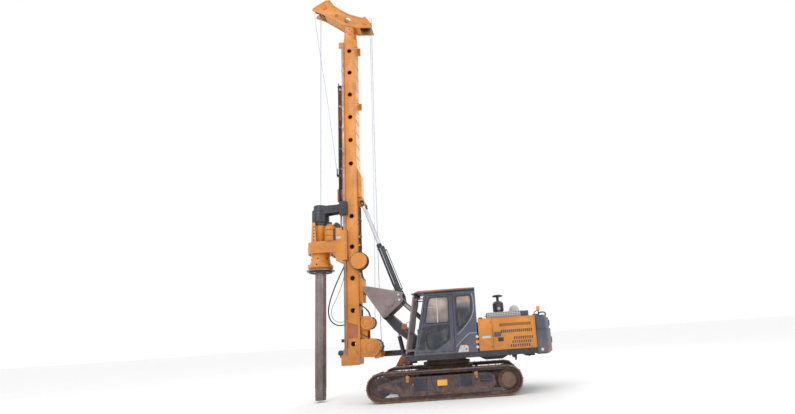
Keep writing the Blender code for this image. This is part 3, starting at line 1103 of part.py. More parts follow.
def kelly():
    """The guide that runs on the mast's rail, the kelly bar that turns in it and its inner bar."""
    collar, collar_foot = 0.178, KELLY_TOP - 0.1
    bore, ledge = bore_radius(collar, WHEEL_SIDES), bore_radius(KELLY_RADIUS + 0.01, WHEEL_SIDES)
    seat_top = collar_foot - THRUST_GAP
    ring = [(seat_top, bore), (seat_top, ledge), (GUIDE_BOTTOM, ledge), (GUIDE_BOTTOM, 0.21), (5.18, 0.21),
            (5.19, GUIDE_RADIUS), (5.56, GUIDE_RADIUS),
            (5.6, 0.22), (5.7, 0.21), (GUIDE_TOP, 0.18), (GUIDE_TOP, 0.03), (KELLY_TOP + 0.03, 0.03),
            (KELLY_TOP + 0.03, bore)]
    arm_front = KELLY_Y + 0.125
    arm = rounded([(arm_front, 5.44), (-2.95, 5.5), (-2.88, 5.33), (-2.88, 5.745), (-3.05, 5.7),
                   (arm_front, 5.69)], 0.02)
    plates = both_sides(block((GUIDE_ARM_X, CARRIAGE_HALF_WIDTH), (-2.94, -2.87), (5.33, 5.745)))
    pads = both_sides(block((0.15, RAIL_HALF_WIDTH - 0.02), (-2.88, RAIL_FRONT - PAD_GAP), (5.36, 5.72)))
    solid("kelly_guide", BLACK_PAINT, turned((0, KELLY_Y, 0), (0, 0, 1), ring, closed=True),
          (0, KELLY_Y, GUIDE_TOP),
          add=[both_sides(prism("x", arm, GUIDE_ARM_X, GUIDE_ARM_X + 0.05)), plates, pads,
               both_sides(claws(5.33, 5.745, -2.89))])
    bar = [(KELLY_BOTTOM, KELLY_BORE), (KELLY_BOTTOM, KELLY_RADIUS), (collar_foot, KELLY_RADIUS),
           (collar_foot, collar), (KELLY_TOP, collar), (KELLY_TOP, KELLY_BORE)]
    keys = []
    for number in range(3):
        angle = math.radians(90 + 120 * number)
        centre = Vector((math.cos(angle), math.sin(angle))) * (KELLY_RADIUS + 0.002)
        across = Vector((-math.sin(angle), math.cos(angle))) * 0.02
        out = Vector((math.cos(angle), math.sin(angle))) * 0.006
        corners = [centre - across - out, centre + across - out, centre + across + out,
                   centre - across + out]
        keys.append(prism("z", [(corner.x, corner.y + KELLY_Y) for corner in corners],
                          KELLY_BOTTOM + 0.3, KELLY_TOP - 0.15))
    solid("kelly_bar", BARE_STEEL, turned((0, KELLY_Y, 0), (0, 0, 1), bar, closed=True),
          (0, KELLY_Y, KELLY_BOTTOM), add=[joined(*keys)], smooth=True)
    inner = [(TOOL_STUB_BOTTOM, 0.0), (TOOL_STUB_BOTTOM, 0.14), (KELLY_BOTTOM - GAP, 0.15),
             (KELLY_BOTTOM - GAP, INNER_KELLY_RADIUS), (KELLY_TOP - 0.2,
                                                        INNER_KELLY_RADIUS), (KELLY_TOP - 0.2, 0.0)]
    solid("inner_kelly", BARE_STEEL, turned((0, KELLY_Y, 0), (0, 0, 1), inner),
          (0, KELLY_Y, TOOL_STUB_BOTTOM),
          smooth=True)


def smooth_path(points, spacing):
    """Points at even spacing on a smooth curve through the given ones."""
    dense = []
    for index in range(len(points) - 1):
        before = Vector(points[max(index - 1, 0)])
        start, end = Vector(points[index]), Vector(points[index + 1])
        after = Vector(points[min(index + 2, len(points) - 1)])
        for step in range(40):
            t = step / 40
            dense.append(0.5 * (2 * start + (end - before) * t
                                + (2 * before - 5 * start + 4 * end - after) * t * t
                                + (3 * start - before - 3 * end + after) * t * t * t))
    dense.append(Vector(points[-1]))
    length = sum((b - a).length for a, b in zip(dense, dense[1:]))
    count = round(length / spacing)
    result, walked, target = [dense[0]], 0.0, length / count
    for a, b in zip(dense, dense[1:]):
        step = (b - a).length
        while walked + step >= target * len(result) and len(result) < count:
            result.append(a.lerp(b, (target * len(result) - walked) / step))
        walked += step
    return result + [dense[-1]]


def drive_hose():
    """The bundled hoses of the rotary drive, which hang in a loop beside the mast."""
    carriage_side, mast_side = -CARRIAGE_HALF_WIDTH - GAP, -MAST_HALF_WIDTH - GAP
    hang = HOSE_HANG_X
    top, foot = (-3.0, 4.06), (-2.6, 2.42)
    route = [(carriage_side, *top), (carriage_side - 0.08, *top), (carriage_side - 0.1, *top),
             (hang + 0.03, -3.03, 3.98), (hang, -3.1, 3.83), (hang, -3.19, 3.65), (hang, -3.37, 3.25),
             (hang, -3.5, 2.89), (hang, -3.56, 2.56), (hang, -3.5, 2.29), (hang, -3.32, 2.13),
             (hang, -3.1, 2.11), (hang, -2.88, 2.2), (hang + 0.02, -2.7, 2.33),
             (hang + 0.1, -2.62, 2.4), (mast_side - 0.15, *foot), (mast_side - 0.08, *foot),
             (mast_side, *foot)]
    curve = bpy.data.curves.new("drive_hose", "CURVE")
    curve.dimensions = "3D"
    curve.bevel_depth = HOSE_DIAMETER / 2
    curve.bevel_resolution = 2
    curve.use_fill_caps = True
    points = smooth_path(route, 2 * HOSE_DIAMETER)
    spline = curve.splines.new("POLY")
    spline.points.add(len(points) - 1)
    for slot, point in zip(spline.points, points):
        slot.co = (*point, 1.0)
    curve.materials.append(material("drive_hose", *BLACK_PAINT))
    made = bpy.data.objects.new("drive_hose", curve)
    bpy.context.scene.collection.objects.link(made)
    made.parent = machine


# ================================================================== assembly
for old in list(bpy.data.objects):
    bpy.data.objects.remove(old, do_unlink=True)

machine = bpy.data.objects.new("machine", None)
machine.location = (0, SLEW_Y, 0)
bpy.context.scene.collection.objects.link(machine)

car_body()
undercarriage("left", TRACK_X)
undercarriage("right", -TRACK_X)
upper_frame()
counterweight()
engine_housing()
side_doors()
hood()
deck_items()
cab()
lower_boom()
upper_link()
triangle()
tilt_cylinders()
lift_cylinder()
knuckle()
mast()
mast_head()
winches()
for sheave_name, sheave_place, sheave_size, sheave_x, sheave_shaft in (
        ("main_sheave_front", FRONT_SHEAVE, MAIN_SHEAVE_RADIUS, 0.0, 0.03),
        ("main_sheave_rear", REAR_SHEAVE, MAIN_SHEAVE_RADIUS, 0.0, 0.03)):
    sheave(sheave_name, sheave_place, sheave_size, 0.028, sheave_x, sheave_shaft)
crowd_cylinder()
rotary_drive()
kelly()
drive_hose()
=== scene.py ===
"""The looks of a rotary piling rig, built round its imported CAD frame.

Pieces are written in the design frame, in metres: x across with the cab's side at +X, y along with the mast at -Y,
z up from the ground, and the slew axis at x = y = 0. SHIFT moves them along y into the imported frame.
"""

import json
import math

import bmesh
import bpy
from mathutils import Matrix, Vector, noise


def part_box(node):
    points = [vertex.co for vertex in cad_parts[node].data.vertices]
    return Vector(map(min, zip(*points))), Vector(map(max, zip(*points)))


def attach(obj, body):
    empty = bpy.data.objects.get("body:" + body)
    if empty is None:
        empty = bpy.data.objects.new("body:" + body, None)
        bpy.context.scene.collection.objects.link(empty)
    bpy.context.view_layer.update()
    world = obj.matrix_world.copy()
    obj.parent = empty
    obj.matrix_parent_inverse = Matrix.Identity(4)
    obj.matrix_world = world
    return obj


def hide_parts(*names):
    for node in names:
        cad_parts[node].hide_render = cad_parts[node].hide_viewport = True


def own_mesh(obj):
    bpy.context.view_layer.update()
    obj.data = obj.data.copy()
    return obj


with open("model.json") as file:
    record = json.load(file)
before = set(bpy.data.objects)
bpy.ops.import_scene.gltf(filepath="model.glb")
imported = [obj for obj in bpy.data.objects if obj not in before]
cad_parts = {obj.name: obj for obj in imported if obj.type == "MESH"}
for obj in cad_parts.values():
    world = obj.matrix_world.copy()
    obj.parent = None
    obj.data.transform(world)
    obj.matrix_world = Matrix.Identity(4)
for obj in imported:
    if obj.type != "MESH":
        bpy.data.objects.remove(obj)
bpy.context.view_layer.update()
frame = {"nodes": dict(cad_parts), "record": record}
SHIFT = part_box("cab_shell")[1].y - 0.92

# ------------------------------------------------------------------ camera, fitted to the photograph; pixels
FOCAL = 445.14
CENTRE = (465.36, 240.68)
IMAGE = (795, 414)
CAMERA_PLACE = (13.068, 1.467, 1.594)
YAW, PITCH, ROLL = -0.0147, 0.2068, 0.0681


def make_camera():
    forward = Vector((-math.cos(YAW) * math.cos(PITCH), math.sin(YAW) * math.cos(PITCH), math.sin(PITCH)))
    right = Vector((math.sin(YAW), math.cos(YAW), 0))
    up = right.cross(forward)
    side = math.cos(ROLL) * right - math.sin(ROLL) * up
    top = math.sin(ROLL) * right + math.cos(ROLL) * up
    data = bpy.data.cameras.new("camera")
    data.sensor_width = 36.0
    data.lens = 36.0 * FOCAL / IMAGE[0]
    data.shift_x = -(CENTRE[0] - IMAGE[0] / 2) / IMAGE[0]
    data.shift_y = (CENTRE[1] - IMAGE[1] / 2) / IMAGE[0]
    data.clip_end = 200.0
    camera = bpy.data.objects.new("camera", data)
    bpy.context.scene.collection.objects.link(camera)
    camera.matrix_world = Matrix((
        (side.x, top.x, -forward.x, CAMERA_PLACE[0]),
        (side.y, top.y, -forward.y, CAMERA_PLACE[1]),
        (side.z, top.z, -forward.z, CAMERA_PLACE[2]),
        (0, 0, 0, 1)))
    bpy.context.scene.camera = camera


# ------------------------------------------------------------------ materials
class Nodes:
    """Adds and joins the shader nodes of one material."""

    def __init__(self, name):
        self.material = bpy.data.materials.new(name)
        self.material.use_nodes = True
        self.tree = self.material.node_tree
        self.shader = self.tree.nodes["Principled BSDF"]
        self.coords = self.tree.nodes.new("ShaderNodeTexCoord")

    def link(self, source, target):
        self.tree.links.new(source, target)

    def mapped(self, scale):
        node = self.tree.nodes.new("ShaderNodeMapping")
        node.inputs["Scale"].default_value = scale
        self.link(self.coords.outputs["Object"], node.inputs["Vector"])
        return node.outputs["Vector"]

    def noise(self, scale, detail=4.0, stretch=(1, 1, 1), rough=0.55):
        node = self.tree.nodes.new("ShaderNodeTexNoise")
        node.inputs["Scale"].default_value = scale
        node.inputs["Detail"].default_value = detail
        node.inputs["Roughness"].default_value = rough
        self.link(self.mapped(stretch), node.inputs["Vector"])
        return node.outputs["Fac"]

    def span(self, value, low, high, out_low=0.0, out_high=1.0):
        node = self.tree.nodes.new("ShaderNodeMapRange")
        node.inputs["From Min"].default_value = low
        node.inputs["From Max"].default_value = high
        node.inputs["To Min"].default_value = out_low
        node.inputs["To Max"].default_value = out_high
        self.link(value, node.inputs["Value"])
        return node.outputs["Result"]

    def math(self, kind, a, b=None):
        node = self.tree.nodes.new("ShaderNodeMath")
        node.operation = kind
        for socket, value in zip(node.inputs, (a, b)):
            if isinstance(value, (int, float)):
                socket.default_value = value
            elif value is not None:
                self.link(value, socket)
        return node.outputs[0]

    def mix(self, share, a, b):
        node = self.tree.nodes.new("ShaderNodeMix")
        node.data_type = "RGBA"
        colours = [s for s in node.inputs if s.type == "RGBA"]
        for socket, value in zip([node.inputs[0], *colours], (share, a, b)):
            if isinstance(value, (int, float)):
                socket.default_value = value
            elif isinstance(value, tuple):
                socket.default_value = (*value, 1.0)
            else:
                self.link(value, socket)
        return [s for s in node.outputs if s.type == "RGBA"][0]

    def edges(self, radius):
        """Near 1 on sharp edges and 0 on flats."""
        bevel = self.tree.nodes.new("ShaderNodeBevel")
        bevel.samples = 4
        bevel.inputs["Radius"].default_value = radius
        geometry = self.tree.nodes.new("ShaderNodeNewGeometry")
        dot = self.tree.nodes.new("ShaderNodeVectorMath")
        dot.operation = "DOT_PRODUCT"
        self.link(bevel.outputs["Normal"], dot.inputs[0])
        self.link(geometry.outputs["Normal"], dot.inputs[1])
        return self.span(dot.outputs["Value"], 0.97, 0.8)

    def height(self, low, high, out_low, out_high):
        split = self.tree.nodes.new("ShaderNodeSeparateXYZ")
        self.link(self.coords.outputs["Object"], split.inputs[0])
        return self.span(split.outputs["Z"], low, high, out_low, out_high)

    def upward(self):
        split = self.tree.nodes.new("ShaderNodeSeparateXYZ")
        self.link(self.coords.outputs["Normal"], split.inputs[0])
        return self.span(split.outputs["Z"], 0.4, 0.95)

    def bump(self, heights, distance):
        node = self.tree.nodes.new("ShaderNodeBump")
        node.inputs["Strength"].default_value = 1.0
        node.inputs["Distance"].default_value = distance
        self.link(heights, node.inputs["Height"])
        self.link(node.outputs["Normal"], self.shader.inputs["Normal"])


def worn(name, colour, rough=0.45, metal=0.0, tint=0.12, dirt=(0.12, 0.085, 0.06), dirty=0.35, streaks=0.2,
         edge=None, worn_edges=0.5, dust=0.3, bump=0.0008, mud=None, mud_line=1.2, coat=0.0, grain=40.0):
    """Painted or bare metal with tint changes, grime, run-down streaks, worn edges, dust on top and mud low down."""
    n = Nodes(name)
    pale = tuple(min(1.0, c * (1 + tint) + 0.012) for c in colour)
    deep = tuple(c * (1 - tint) for c in colour)
    shade = n.mix(n.span(n.noise(1.7, 5), 0.35, 0.65), deep, pale)
    grime = n.span(n.noise(6.5, 8, rough=0.65), 0.52, 0.78, 0.0, dirty)
    shade = n.mix(grime, shade, dirt)
    run = n.span(n.noise(1.0, 6, (11, 11, 0.8)), 0.55, 0.8, 0.0, streaks)
    shade = n.mix(run, shade, tuple(c * 1.2 for c in dirt))
    if dust:
        top = n.math("MULTIPLY", n.upward(), n.span(n.noise(4.0, 6), 0.3, 0.7, 0.2, dust * 2))
        shade = n.mix(top, shade, (0.36, 0.3, 0.25))
    if mud:
        low = n.math("MULTIPLY", n.height(0.0, mud_line, 1.0, 0.0), n.span(n.noise(7.0, 9, rough=0.7), 0.36, 0.6))
        shade = n.mix(low, shade, mud)
    rim = n.math("MULTIPLY", n.edges(0.012), n.span(n.noise(14.0, 6), 0.38, 0.62, 0.0, worn_edges))
    shade = n.mix(rim, shade, edge or tuple(c * 0.45 + 0.05 for c in colour))
    n.link(shade, n.shader.inputs["Base Color"])
    n.link(n.span(n.math("ADD", n.noise(9.0, 5), grime), 0.3, 1.0, max(0.05, rough - 0.12), rough + 0.22),
           n.shader.inputs["Roughness"])
    n.shader.inputs["Metallic"].default_value = metal
    n.shader.inputs["Coat Weight"].default_value = coat
    n.shader.inputs["Coat Roughness"].default_value = 0.25
    n.bump(n.math("ADD", n.noise(grain, 6), n.math("MULTIPLY", n.noise(3.0, 3), 0.8)), bump)
    return n.material


def rubber(name, colour, rough=0.6, ridges=0.0):
    n = Nodes(name)
    shade = n.mix(n.span(n.noise(5.0, 6), 0.4, 0.7), colour, tuple(c * 1.8 + 0.02 for c in colour))
    shade = n.mix(n.span(n.noise(16.0, 7), 0.58, 0.8, 0.0, 0.5), shade, (0.2, 0.16, 0.13))
    n.link(shade, n.shader.inputs["Base Color"])
    n.link(n.span(n.noise(12.0), 0.3, 0.7, rough - 0.12, rough + 0.15), n.shader.inputs["Roughness"])
    n.bump(n.noise(120.0 if not ridges else ridges, 3), 0.0006)
    return n.material


def glazing(name, low, high):
    """Dusty tinted glass: clearer low down, paler and more reflective towards its top, where a pale painted
    reflection is mixed into its colour.
    """
    n = Nodes(name)
    rise = n.height(low, high, 0.0, 1.0)
    # painted reflection: pale brown mixed into the glass colour towards its top, in patches
    painted_reflection = n.math("MULTIPLY", rise, n.span(n.noise(2.6, 5), 0.3, 0.6, 0.55, 1.0))
    shade = n.mix(painted_reflection, (0.16, 0.18, 0.21), (0.62, 0.5, 0.45))
    smear = n.span(n.noise(1.0, 7, (6, 6, 1.2)), 0.5, 0.8, 0.0, 0.4)
    shade = n.mix(smear, shade, (0.5, 0.44, 0.4))
    n.link(shade, n.shader.inputs["Base Color"])
    n.link(n.span(n.math("ADD", painted_reflection, smear), 0.0, 1.3, 0.75, 0.15), n.shader.inputs["Transmission Weight"])
    n.link(n.span(n.noise(5.0, 5), 0.3, 0.8, 0.03, 0.2), n.shader.inputs["Roughness"])
    n.shader.inputs["IOR"].default_value = 1.3
    n.bump(n.noise(3.0), 0.0004)
    return n.material


def lamp_glass(name, colour, glow=0.0):
    n = Nodes(name)
    n.link(n.mix(n.span(n.noise(30.0), 0.4, 0.6), colour, tuple(c * 0.7 for c in colour)),
           n.shader.inputs["Base Color"])
    n.link(n.span(n.noise(20.0), 0.3, 0.7, 0.08, 0.25), n.shader.inputs["Roughness"])
    n.shader.inputs["Transmission Weight"].default_value = 0.25
    n.shader.inputs["Emission Color"].default_value = (*colour, 1.0)
    n.shader.inputs["Emission Strength"].default_value = glow
    n.bump(n.noise(90.0), 0.0006)
    return n.material


MUD = (0.2, 0.115, 0.085)
LOOK = {
    "orange_paint": worn("orange_paint", (0.6, 0.215, 0.022), 0.42, tint=0.12, dirt=(0.17, 0.075, 0.03),
                         dirty=0.3, streaks=0.22, edge=(0.28, 0.1, 0.03), coat=0.15, mud=(0.3, 0.13, 0.05),
                         mud_line=1.9),
    "slate_paint": worn("slate_paint", (0.06, 0.068, 0.105), 0.5, tint=0.16, dirt=(0.19, 0.16, 0.15),
                        dirty=0.4, streaks=0.3, edge=(0.3, 0.29, 0.31), dust=0.35, mud=(0.22, 0.16, 0.13),
                        mud_line=1.7),
    "dark_iron": worn("dark_iron", (0.034, 0.032, 0.045), 0.55, 0.3, dirt=(0.2, 0.14, 0.11), dirty=0.5,
                      edge=(0.24, 0.2, 0.18), mud=MUD, mud_line=1.1),
    "black_paint": worn("black_paint", (0.022, 0.024, 0.034), 0.4, tint=0.3, dirt=(0.13, 0.11, 0.1),
                        dirty=0.3, streaks=0.25, edge=(0.2, 0.19, 0.2), dust=0.2),
    "dusty_paint": worn("dusty_paint", (0.25, 0.195, 0.195), 0.75, tint=0.14, dirt=(0.14, 0.11, 0.1),
                        dirty=0.35, streaks=0.35, edge=(0.1, 0.09, 0.09), worn_edges=0.7, dust=0.3),
    "muddy_steel": worn("muddy_steel", (0.125, 0.078, 0.064), 0.72, 0.25, tint=0.3, dirt=(0.34, 0.16, 0.085),
                        dirty=0.85, streaks=0.1, edge=(0.5, 0.38, 0.32), worn_edges=1.0, dust=0.35,
                        bump=0.004, mud=(0.23, 0.13, 0.09), mud_line=0.9, grain=24.0),
    "bare_steel": worn("bare_steel", (0.24, 0.2, 0.2), 0.42, 0.75, tint=0.25, dirt=(0.17, 0.12, 0.1),
                       dirty=0.75, streaks=0.5, edge=(0.62, 0.6, 0.6), dust=0.0, bump=0.0015,
                       mud=(0.16, 0.12, 0.105), mud_line=3.4),
    "bright_rod": worn("bright_rod", (0.66, 0.67, 0.71), 0.16, 1.0, tint=0.06, dirty=0.12, streaks=0.08,
                       edge=(0.8, 0.8, 0.82), dust=0.0, bump=0.0001),
    "pale_paint": worn("pale_paint", (0.55, 0.5, 0.5), 0.5, tint=0.06, dirt=(0.32, 0.25, 0.21), dirty=0.35,
                       streaks=0.25, edge=(0.35, 0.3, 0.28)),
    "window": glazing("window", 1.6, 2.4),
    "hose": rubber("hose", (0.012, 0.012, 0.016)),
    # black rubber for seals and seams, also used as painted shade in the louvre slots and behind the hood grille
    "seal": rubber("seal", (0.015, 0.016, 0.02), 0.5),
    "seat_cloth": rubber("seat_cloth", (0.03, 0.03, 0.036), 0.85, 300.0),
    "amber": lamp_glass("amber", (0.95, 0.25, 0.02), 0.5),
    "clear_lamp": lamp_glass("clear_lamp", (0.9, 0.86, 0.84), 0.1),
    "red_lamp": lamp_glass("red_lamp", (0.6, 0.03, 0.02), 0.1),
    "rope": worn("rope", (0.42, 0.5, 0.62), 0.45, 0.6, tint=0.15, dirty=0.25, streaks=0.0, dust=0.0,
                 bump=0.002, grain=160.0),
    "mud_brown": worn("mud_brown", (0.33, 0.105, 0.042), 0.7, tint=0.25, dirt=(0.14, 0.06, 0.03), dirty=0.6,
                      bump=0.002),
    "yellow_plate": worn("yellow_plate", (0.86, 0.42, 0.05), 0.5, tint=0.05, dirty=0.25, streaks=0.1),
    "stripe_red": worn("stripe_red", (0.3, 0.05, 0.02), 0.6, tint=0.2, dirty=0.5),
}


# ------------------------------------------------------------------ shapes
class Piece:
    """One named piece: shapes are added to it, in the design frame, and done() hangs it on its body."""

    def __init__(self, name, body, look, slot=None, bevel=0.0):
        self.name, self.body, self.look, self.bevel = name, body, look, bevel
        self.slot = slot or (look if look in SLOTS else None)
        self.bm = bmesh.new()

    def faces(self, points, faces):
        made = [self.bm.verts.new(p) for p in points]
        for face in faces:
            self.bm.faces.new([made[i] for i in face])
        return made

    def loft(self, rings, closed=False):
        """Skins rings of points, with flat ends unless it closes on itself."""
        count, points, faces = len(rings[0]), [p for ring in rings for p in ring], []
        stretch = len(rings) if closed else len(rings) - 1
        for r in range(stretch):
            here, there = r * count, (r + 1) % len(rings) * count
            for i in range(count):
                j = (i + 1) % count
                faces.append((here + i, here + j, there + j, there + i))
        if not closed:
            faces.append(tuple(reversed(range(count))))
            faces.append(tuple(range(len(points) - count, len(points))))
        return self.faces(points, faces)

    def box(self, x, y, z, tilt=0.0, about="x"):
        middle = Vector(((x[0] + x[1]) / 2, (y[0] + y[1]) / 2, (z[0] + z[1]) / 2))
        turn = Matrix.Rotation(tilt, 3, about.upper())
        rings = []
        for height in z:
            ring = [(x[0], y[0], height), (x[1], y[0], height), (x[1], y[1], height), (x[0], y[1], height)]
            rings.append([middle + turn @ (Vector(p) - middle) for p in ring])
        self.loft(rings)
        return self

    def prism(self, outline, low, high, axis="x"):
        place = {"x": lambda a, b, c: (c, a, b), "y": lambda a, b, c: (a, c, b),
                 "z": lambda a, b, c: (a, b, c)}[axis]
        self.loft([[place(a, b, level) for a, b in outline] for level in (low, high)])
        return self

    def lathe(self, origin, axis, profile, sides=28):
        """Turns (distance, radius) points round an axis."""
        axis = Vector(axis).normalized()
        one = axis.orthogonal().normalized()
        two = axis.cross(one)
        rings = []
        for distance, radius in profile:
            middle = Vector(origin) + axis * distance
            rings.append([middle + (one * math.cos(a) + two * math.sin(a)) * max(radius, 0.0005)
                          for a in (2 * math.pi * i / sides for i in range(sides))])
        self.loft(rings)
        return self

    def rod(self, start, end, radius, sides=12, tip=None):
        start, end = Vector(start), Vector(end)
        return self.lathe(start, end - start, [(0, radius), ((end - start).length, radius if tip is None else tip)],
                          sides)

    def tube(self, points, radius, sides=8, closed=False, squash=1.0):
        """A round bar swept along points, without twist."""
        points = [Vector(p) for p in points]
        rings, across = [], None
        count = len(points)
        for i, point in enumerate(points):
            before = points[(i - 1) % count] if closed or i else point
            after = points[(i + 1) % count] if closed or i < count - 1 else point
            along = (after - before).normalized()
            across = along.orthogonal() if across is None else across - along * across.dot(along)
            across.normalize()
            other = along.cross(across)
            rings.append([point + (across * math.cos(a) + other * math.sin(a) * squash) * radius
                          for a in (2 * math.pi * k / sides for k in range(sides))])
        self.loft(rings, closed)
        return self

    def pipe(self, points, spacing, radius, sides=8):
        """A round bar along a smooth curve through the points."""
        return self.tube(smooth_path(points, spacing), radius, sides)

    def ring(self, origin, axis, radius, thick, sides=32, section=8):
        axis = Vector(axis).normalized()
        one = axis.orthogonal().normalized()
        two = axis.cross(one)
        points = [Vector(origin) + (one * math.cos(a) + two * math.sin(a)) * radius
                  for a in (2 * math.pi * i / sides for i in range(sides))]
        return self.tube(points, thick, section, True)

    def bolt(self, origin, axis, radius=0.014, height=0.012):
        axis = Vector(axis).normalized()
        self.lathe(origin, axis, [(-0.003, radius * 1.35), (height * 0.22, radius * 1.35)], 12)
        self.lathe(origin, axis, [(0.0, radius), (height * 0.85, radius), (height, radius * 0.82)], 6)
        return self

    def bolts(self, origin, axis, circle, count, radius=0.014, height=0.012, start=0.0):
        axis = Vector(axis).normalized()
        one = axis.orthogonal().normalized()
        two = axis.cross(one)
        for i in range(count):
            a = start + 2 * math.pi * i / count
            self.bolt(Vector(origin) + (one * math.cos(a) + two * math.sin(a)) * circle, axis, radius, height)
        return self

    def frame(self, outline, width, low, high):
        """A strip of a width along the inside of a closed (y, z) outline, between two x."""
        inner = inset(outline, width)
        count = len(outline)
        rings = []
        for i in range(count):
            rings.append([(low, *outline[i]), (high, *outline[i]), (high, *inner[i]), (low, *inner[i])])
        self.loft(rings, True)
        return self

    def done(self, angle=35, subdivide=0):
        bmesh.ops.translate(self.bm, verts=self.bm.verts, vec=(0, SHIFT, 0))
        bmesh.ops.recalc_face_normals(self.bm, faces=self.bm.faces)
        mesh = bpy.data.meshes.new(self.name)
        self.bm.to_mesh(mesh)
        self.bm.free()
        mesh.shade_smooth()
        mesh.set_sharp_from_angle(angle=math.radians(angle))
        mesh.materials.append(LOOK[self.look])
        obj = bpy.data.objects.new(self.name, mesh)
        bpy.context.scene.collection.objects.link(obj)
        if self.bevel:
            soft = obj.modifiers.new("soft_edges", "BEVEL")
            soft.width, soft.segments, soft.limit_method = self.bevel, 2, "ANGLE"
            soft.angle_limit = math.radians(40)
            soft.harden_normals = False
        if subdivide:
            smooth = obj.modifiers.new("rounded", "SUBSURF")
            smooth.levels = smooth.render_levels = subdivide
        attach(obj, self.body)
        return obj


SLOTS = {m.get("slot") for m in frame["record"].get("materials", [])}


def inset(outline, width):
    """A closed outline moved inwards by a width."""
    area = sum(a[0] * b[1] - b[0] * a[1] for a, b in zip(outline, outline[1:] + outline[:1]))
    sign = 1 if area > 0 else -1
    result = []
    for i, point in enumerate(outline):
        a, b, c = Vector(outline[i - 1]), Vector(point), Vector(outline[(i + 1) % len(outline)])
        first, second = (b - a).normalized(), (c - b).normalized()
        n1, n2 = Vector((-first.y, first.x)) * sign, Vector((-second.y, second.x)) * sign
        middle = (n1 + n2).normalized()
        result.append(tuple(b + middle * (width / max(0.3, middle.dot(n1)))))
    return result


def round_corners(outline, radius, steps=4):
    result = []
    count = len(outline)
    for i in range(count):
        a, b, c = Vector(outline[i - 1]), Vector(outline[i]), Vector(outline[(i + 1) % count])
        back, on = (a - b), (c - b)
        reach = min(radius, back.length / 2.2, on.length / 2.2)
        start, end = b + back.normalized() * reach, b + on.normalized() * reach
        for s in range(steps + 1):
            t = s / steps
            result.append(tuple(start.lerp(b, t).lerp(b.lerp(end, t), t)))
    return result


def smooth_path(points, spacing):
    """Points at even spacing on a smooth curve through the given ones."""
    dense = []
    for index in range(len(points) - 1):
        before = Vector(points[max(index - 1, 0)])
        start, end = Vector(points[index]), Vector(points[index + 1])
        after = Vector(points[min(index + 2, len(points) - 1)])
        for step in range(40):
            t = step / 40
            dense.append(0.5 * (2 * start + (end - before) * t
                                + (2 * before - 5 * start + 4 * end - after) * t * t
                                + (3 * start - before - 3 * end + after) * t * t * t))
    dense.append(Vector(points[-1]))
    length = sum((b - a).length for a, b in zip(dense, dense[1:]))
    count = max(2, round(length / spacing))
    result, walked, target = [dense[0]], 0.0, length / count
    for a, b in zip(dense, dense[1:]):
        step = (b - a).length
        while walked + step >= target * len(result) and len(result) < count:
            result.append(a.lerp(b, (target * len(result) - walked) / step))
        walked += step
    return result + [dense[-1]]


# ------------------------------------------------------------------ camera and cords come first
make_camera()


def hose(name, points, diameter, body, replaced=None):
    """A hanging hose: a bevelled curve on its route."""
    points = [Vector(p) + Vector((0, SHIFT, 0)) for p in points]
    curve = bpy.data.curves.new(name, "CURVE")
    curve.dimensions = "3D"
    curve.bevel_depth, curve.bevel_resolution, curve.use_fill_caps = diameter / 2, 4, True
    line = curve.splines.new("POLY")
    line.points.add(len(points) - 1)
    for spot, point in zip(line.points, points):
        spot.co = (*point, 1)
    line.use_smooth = True
    curve.materials.append(LOOK["hose"])
    obj = bpy.data.objects.new(name, curve)
    bpy.context.scene.collection.objects.link(obj)
    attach(obj, body)
    if replaced:
        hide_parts(replaced)


HANG = -0.54
CARRIAGE_SIDE, MAST_SIDE = -0.3403, -0.2203
TOP, FOOT = (-3.0, 4.06), (-2.6, 2.42)
MAIN_ROUTE = [(CARRIAGE_SIDE, *TOP), (CARRIAGE_SIDE - 0.08, *TOP), (CARRIAGE_SIDE - 0.1, *TOP),
              (HANG + 0.03, -3.03, 3.98), (HANG, -3.1, 3.83), (HANG, -3.19, 3.65), (HANG, -3.37, 3.25),
              (HANG, -3.5, 2.89), (HANG, -3.56, 2.56), (HANG, -3.5, 2.29), (HANG, -3.32, 2.13),
              (HANG, -3.1, 2.11), (HANG, -2.88, 2.2), (HANG + 0.02, -2.7, 2.33), (HANG + 0.1, -2.62, 2.4),
              (MAST_SIDE - 0.15, *FOOT), (MAST_SIDE - 0.08, *FOOT), (MAST_SIDE, *FOOT)]
ends = Piece("hose_ends", "leader", "dark_iron", bevel=0.001)
for x, (y, z), way in ((CARRIAGE_SIDE, TOP, -1), (MAST_SIDE, FOOT, -1)):
    ends.lathe((x, y, z), (way, 0, 0), [(0.0, 0.026), (0.012, 0.026), (0.012, 0.023), (0.05, 0.021),
                                        (0.06, 0.0195)], 18)
    ends.lathe((x, y, z), (way, 0, 0), [(0.0, 0.031), (0.009, 0.031)], 6)
ends_piece = ends.done()
tie = Piece("hose_tie", "leader", "dark_iron")
tie.ring((HANG, -3.535, 2.4), (0, 0.33, -1.0), 0.0195, 0.004, 24, 8)
tie.ring((HANG, -3.552, 2.62), (0, -0.03, -1.0), 0.0195, 0.004, 24, 8)
tie_piece = tie.done()
hose("drive_hose_bundle", smooth_path(MAIN_ROUTE, 0.072), 0.036, "leader", "drive_hose")
THIN_ROUTE = [(-0.3403, -3.0, 3.97), (-0.39, -3.0, 3.97), (-0.43, -3.0, 3.93), (-0.46, -3.02, 3.78),
              (-0.47, -3.07, 3.5), (-0.48, -3.17, 3.2), (-0.495, -3.3, 2.92), (-0.5, -3.42, 2.68),
              (-0.5, -3.46, 2.5), (-0.5, -3.41, 2.33), (-0.495, -3.28, 2.22), (-0.49, -3.1, 2.2),
              (-0.48, -2.9, 2.29), (-0.46, -2.75, 2.42), (-0.42, -2.66, 2.52), (-0.36, -2.62, 2.55),
              (-0.29, -2.6, 2.55), (-0.2203, -2.6, 2.55)]
hose("drain_hose", smooth_path(THIN_ROUTE, 0.036), 0.014, "leader")

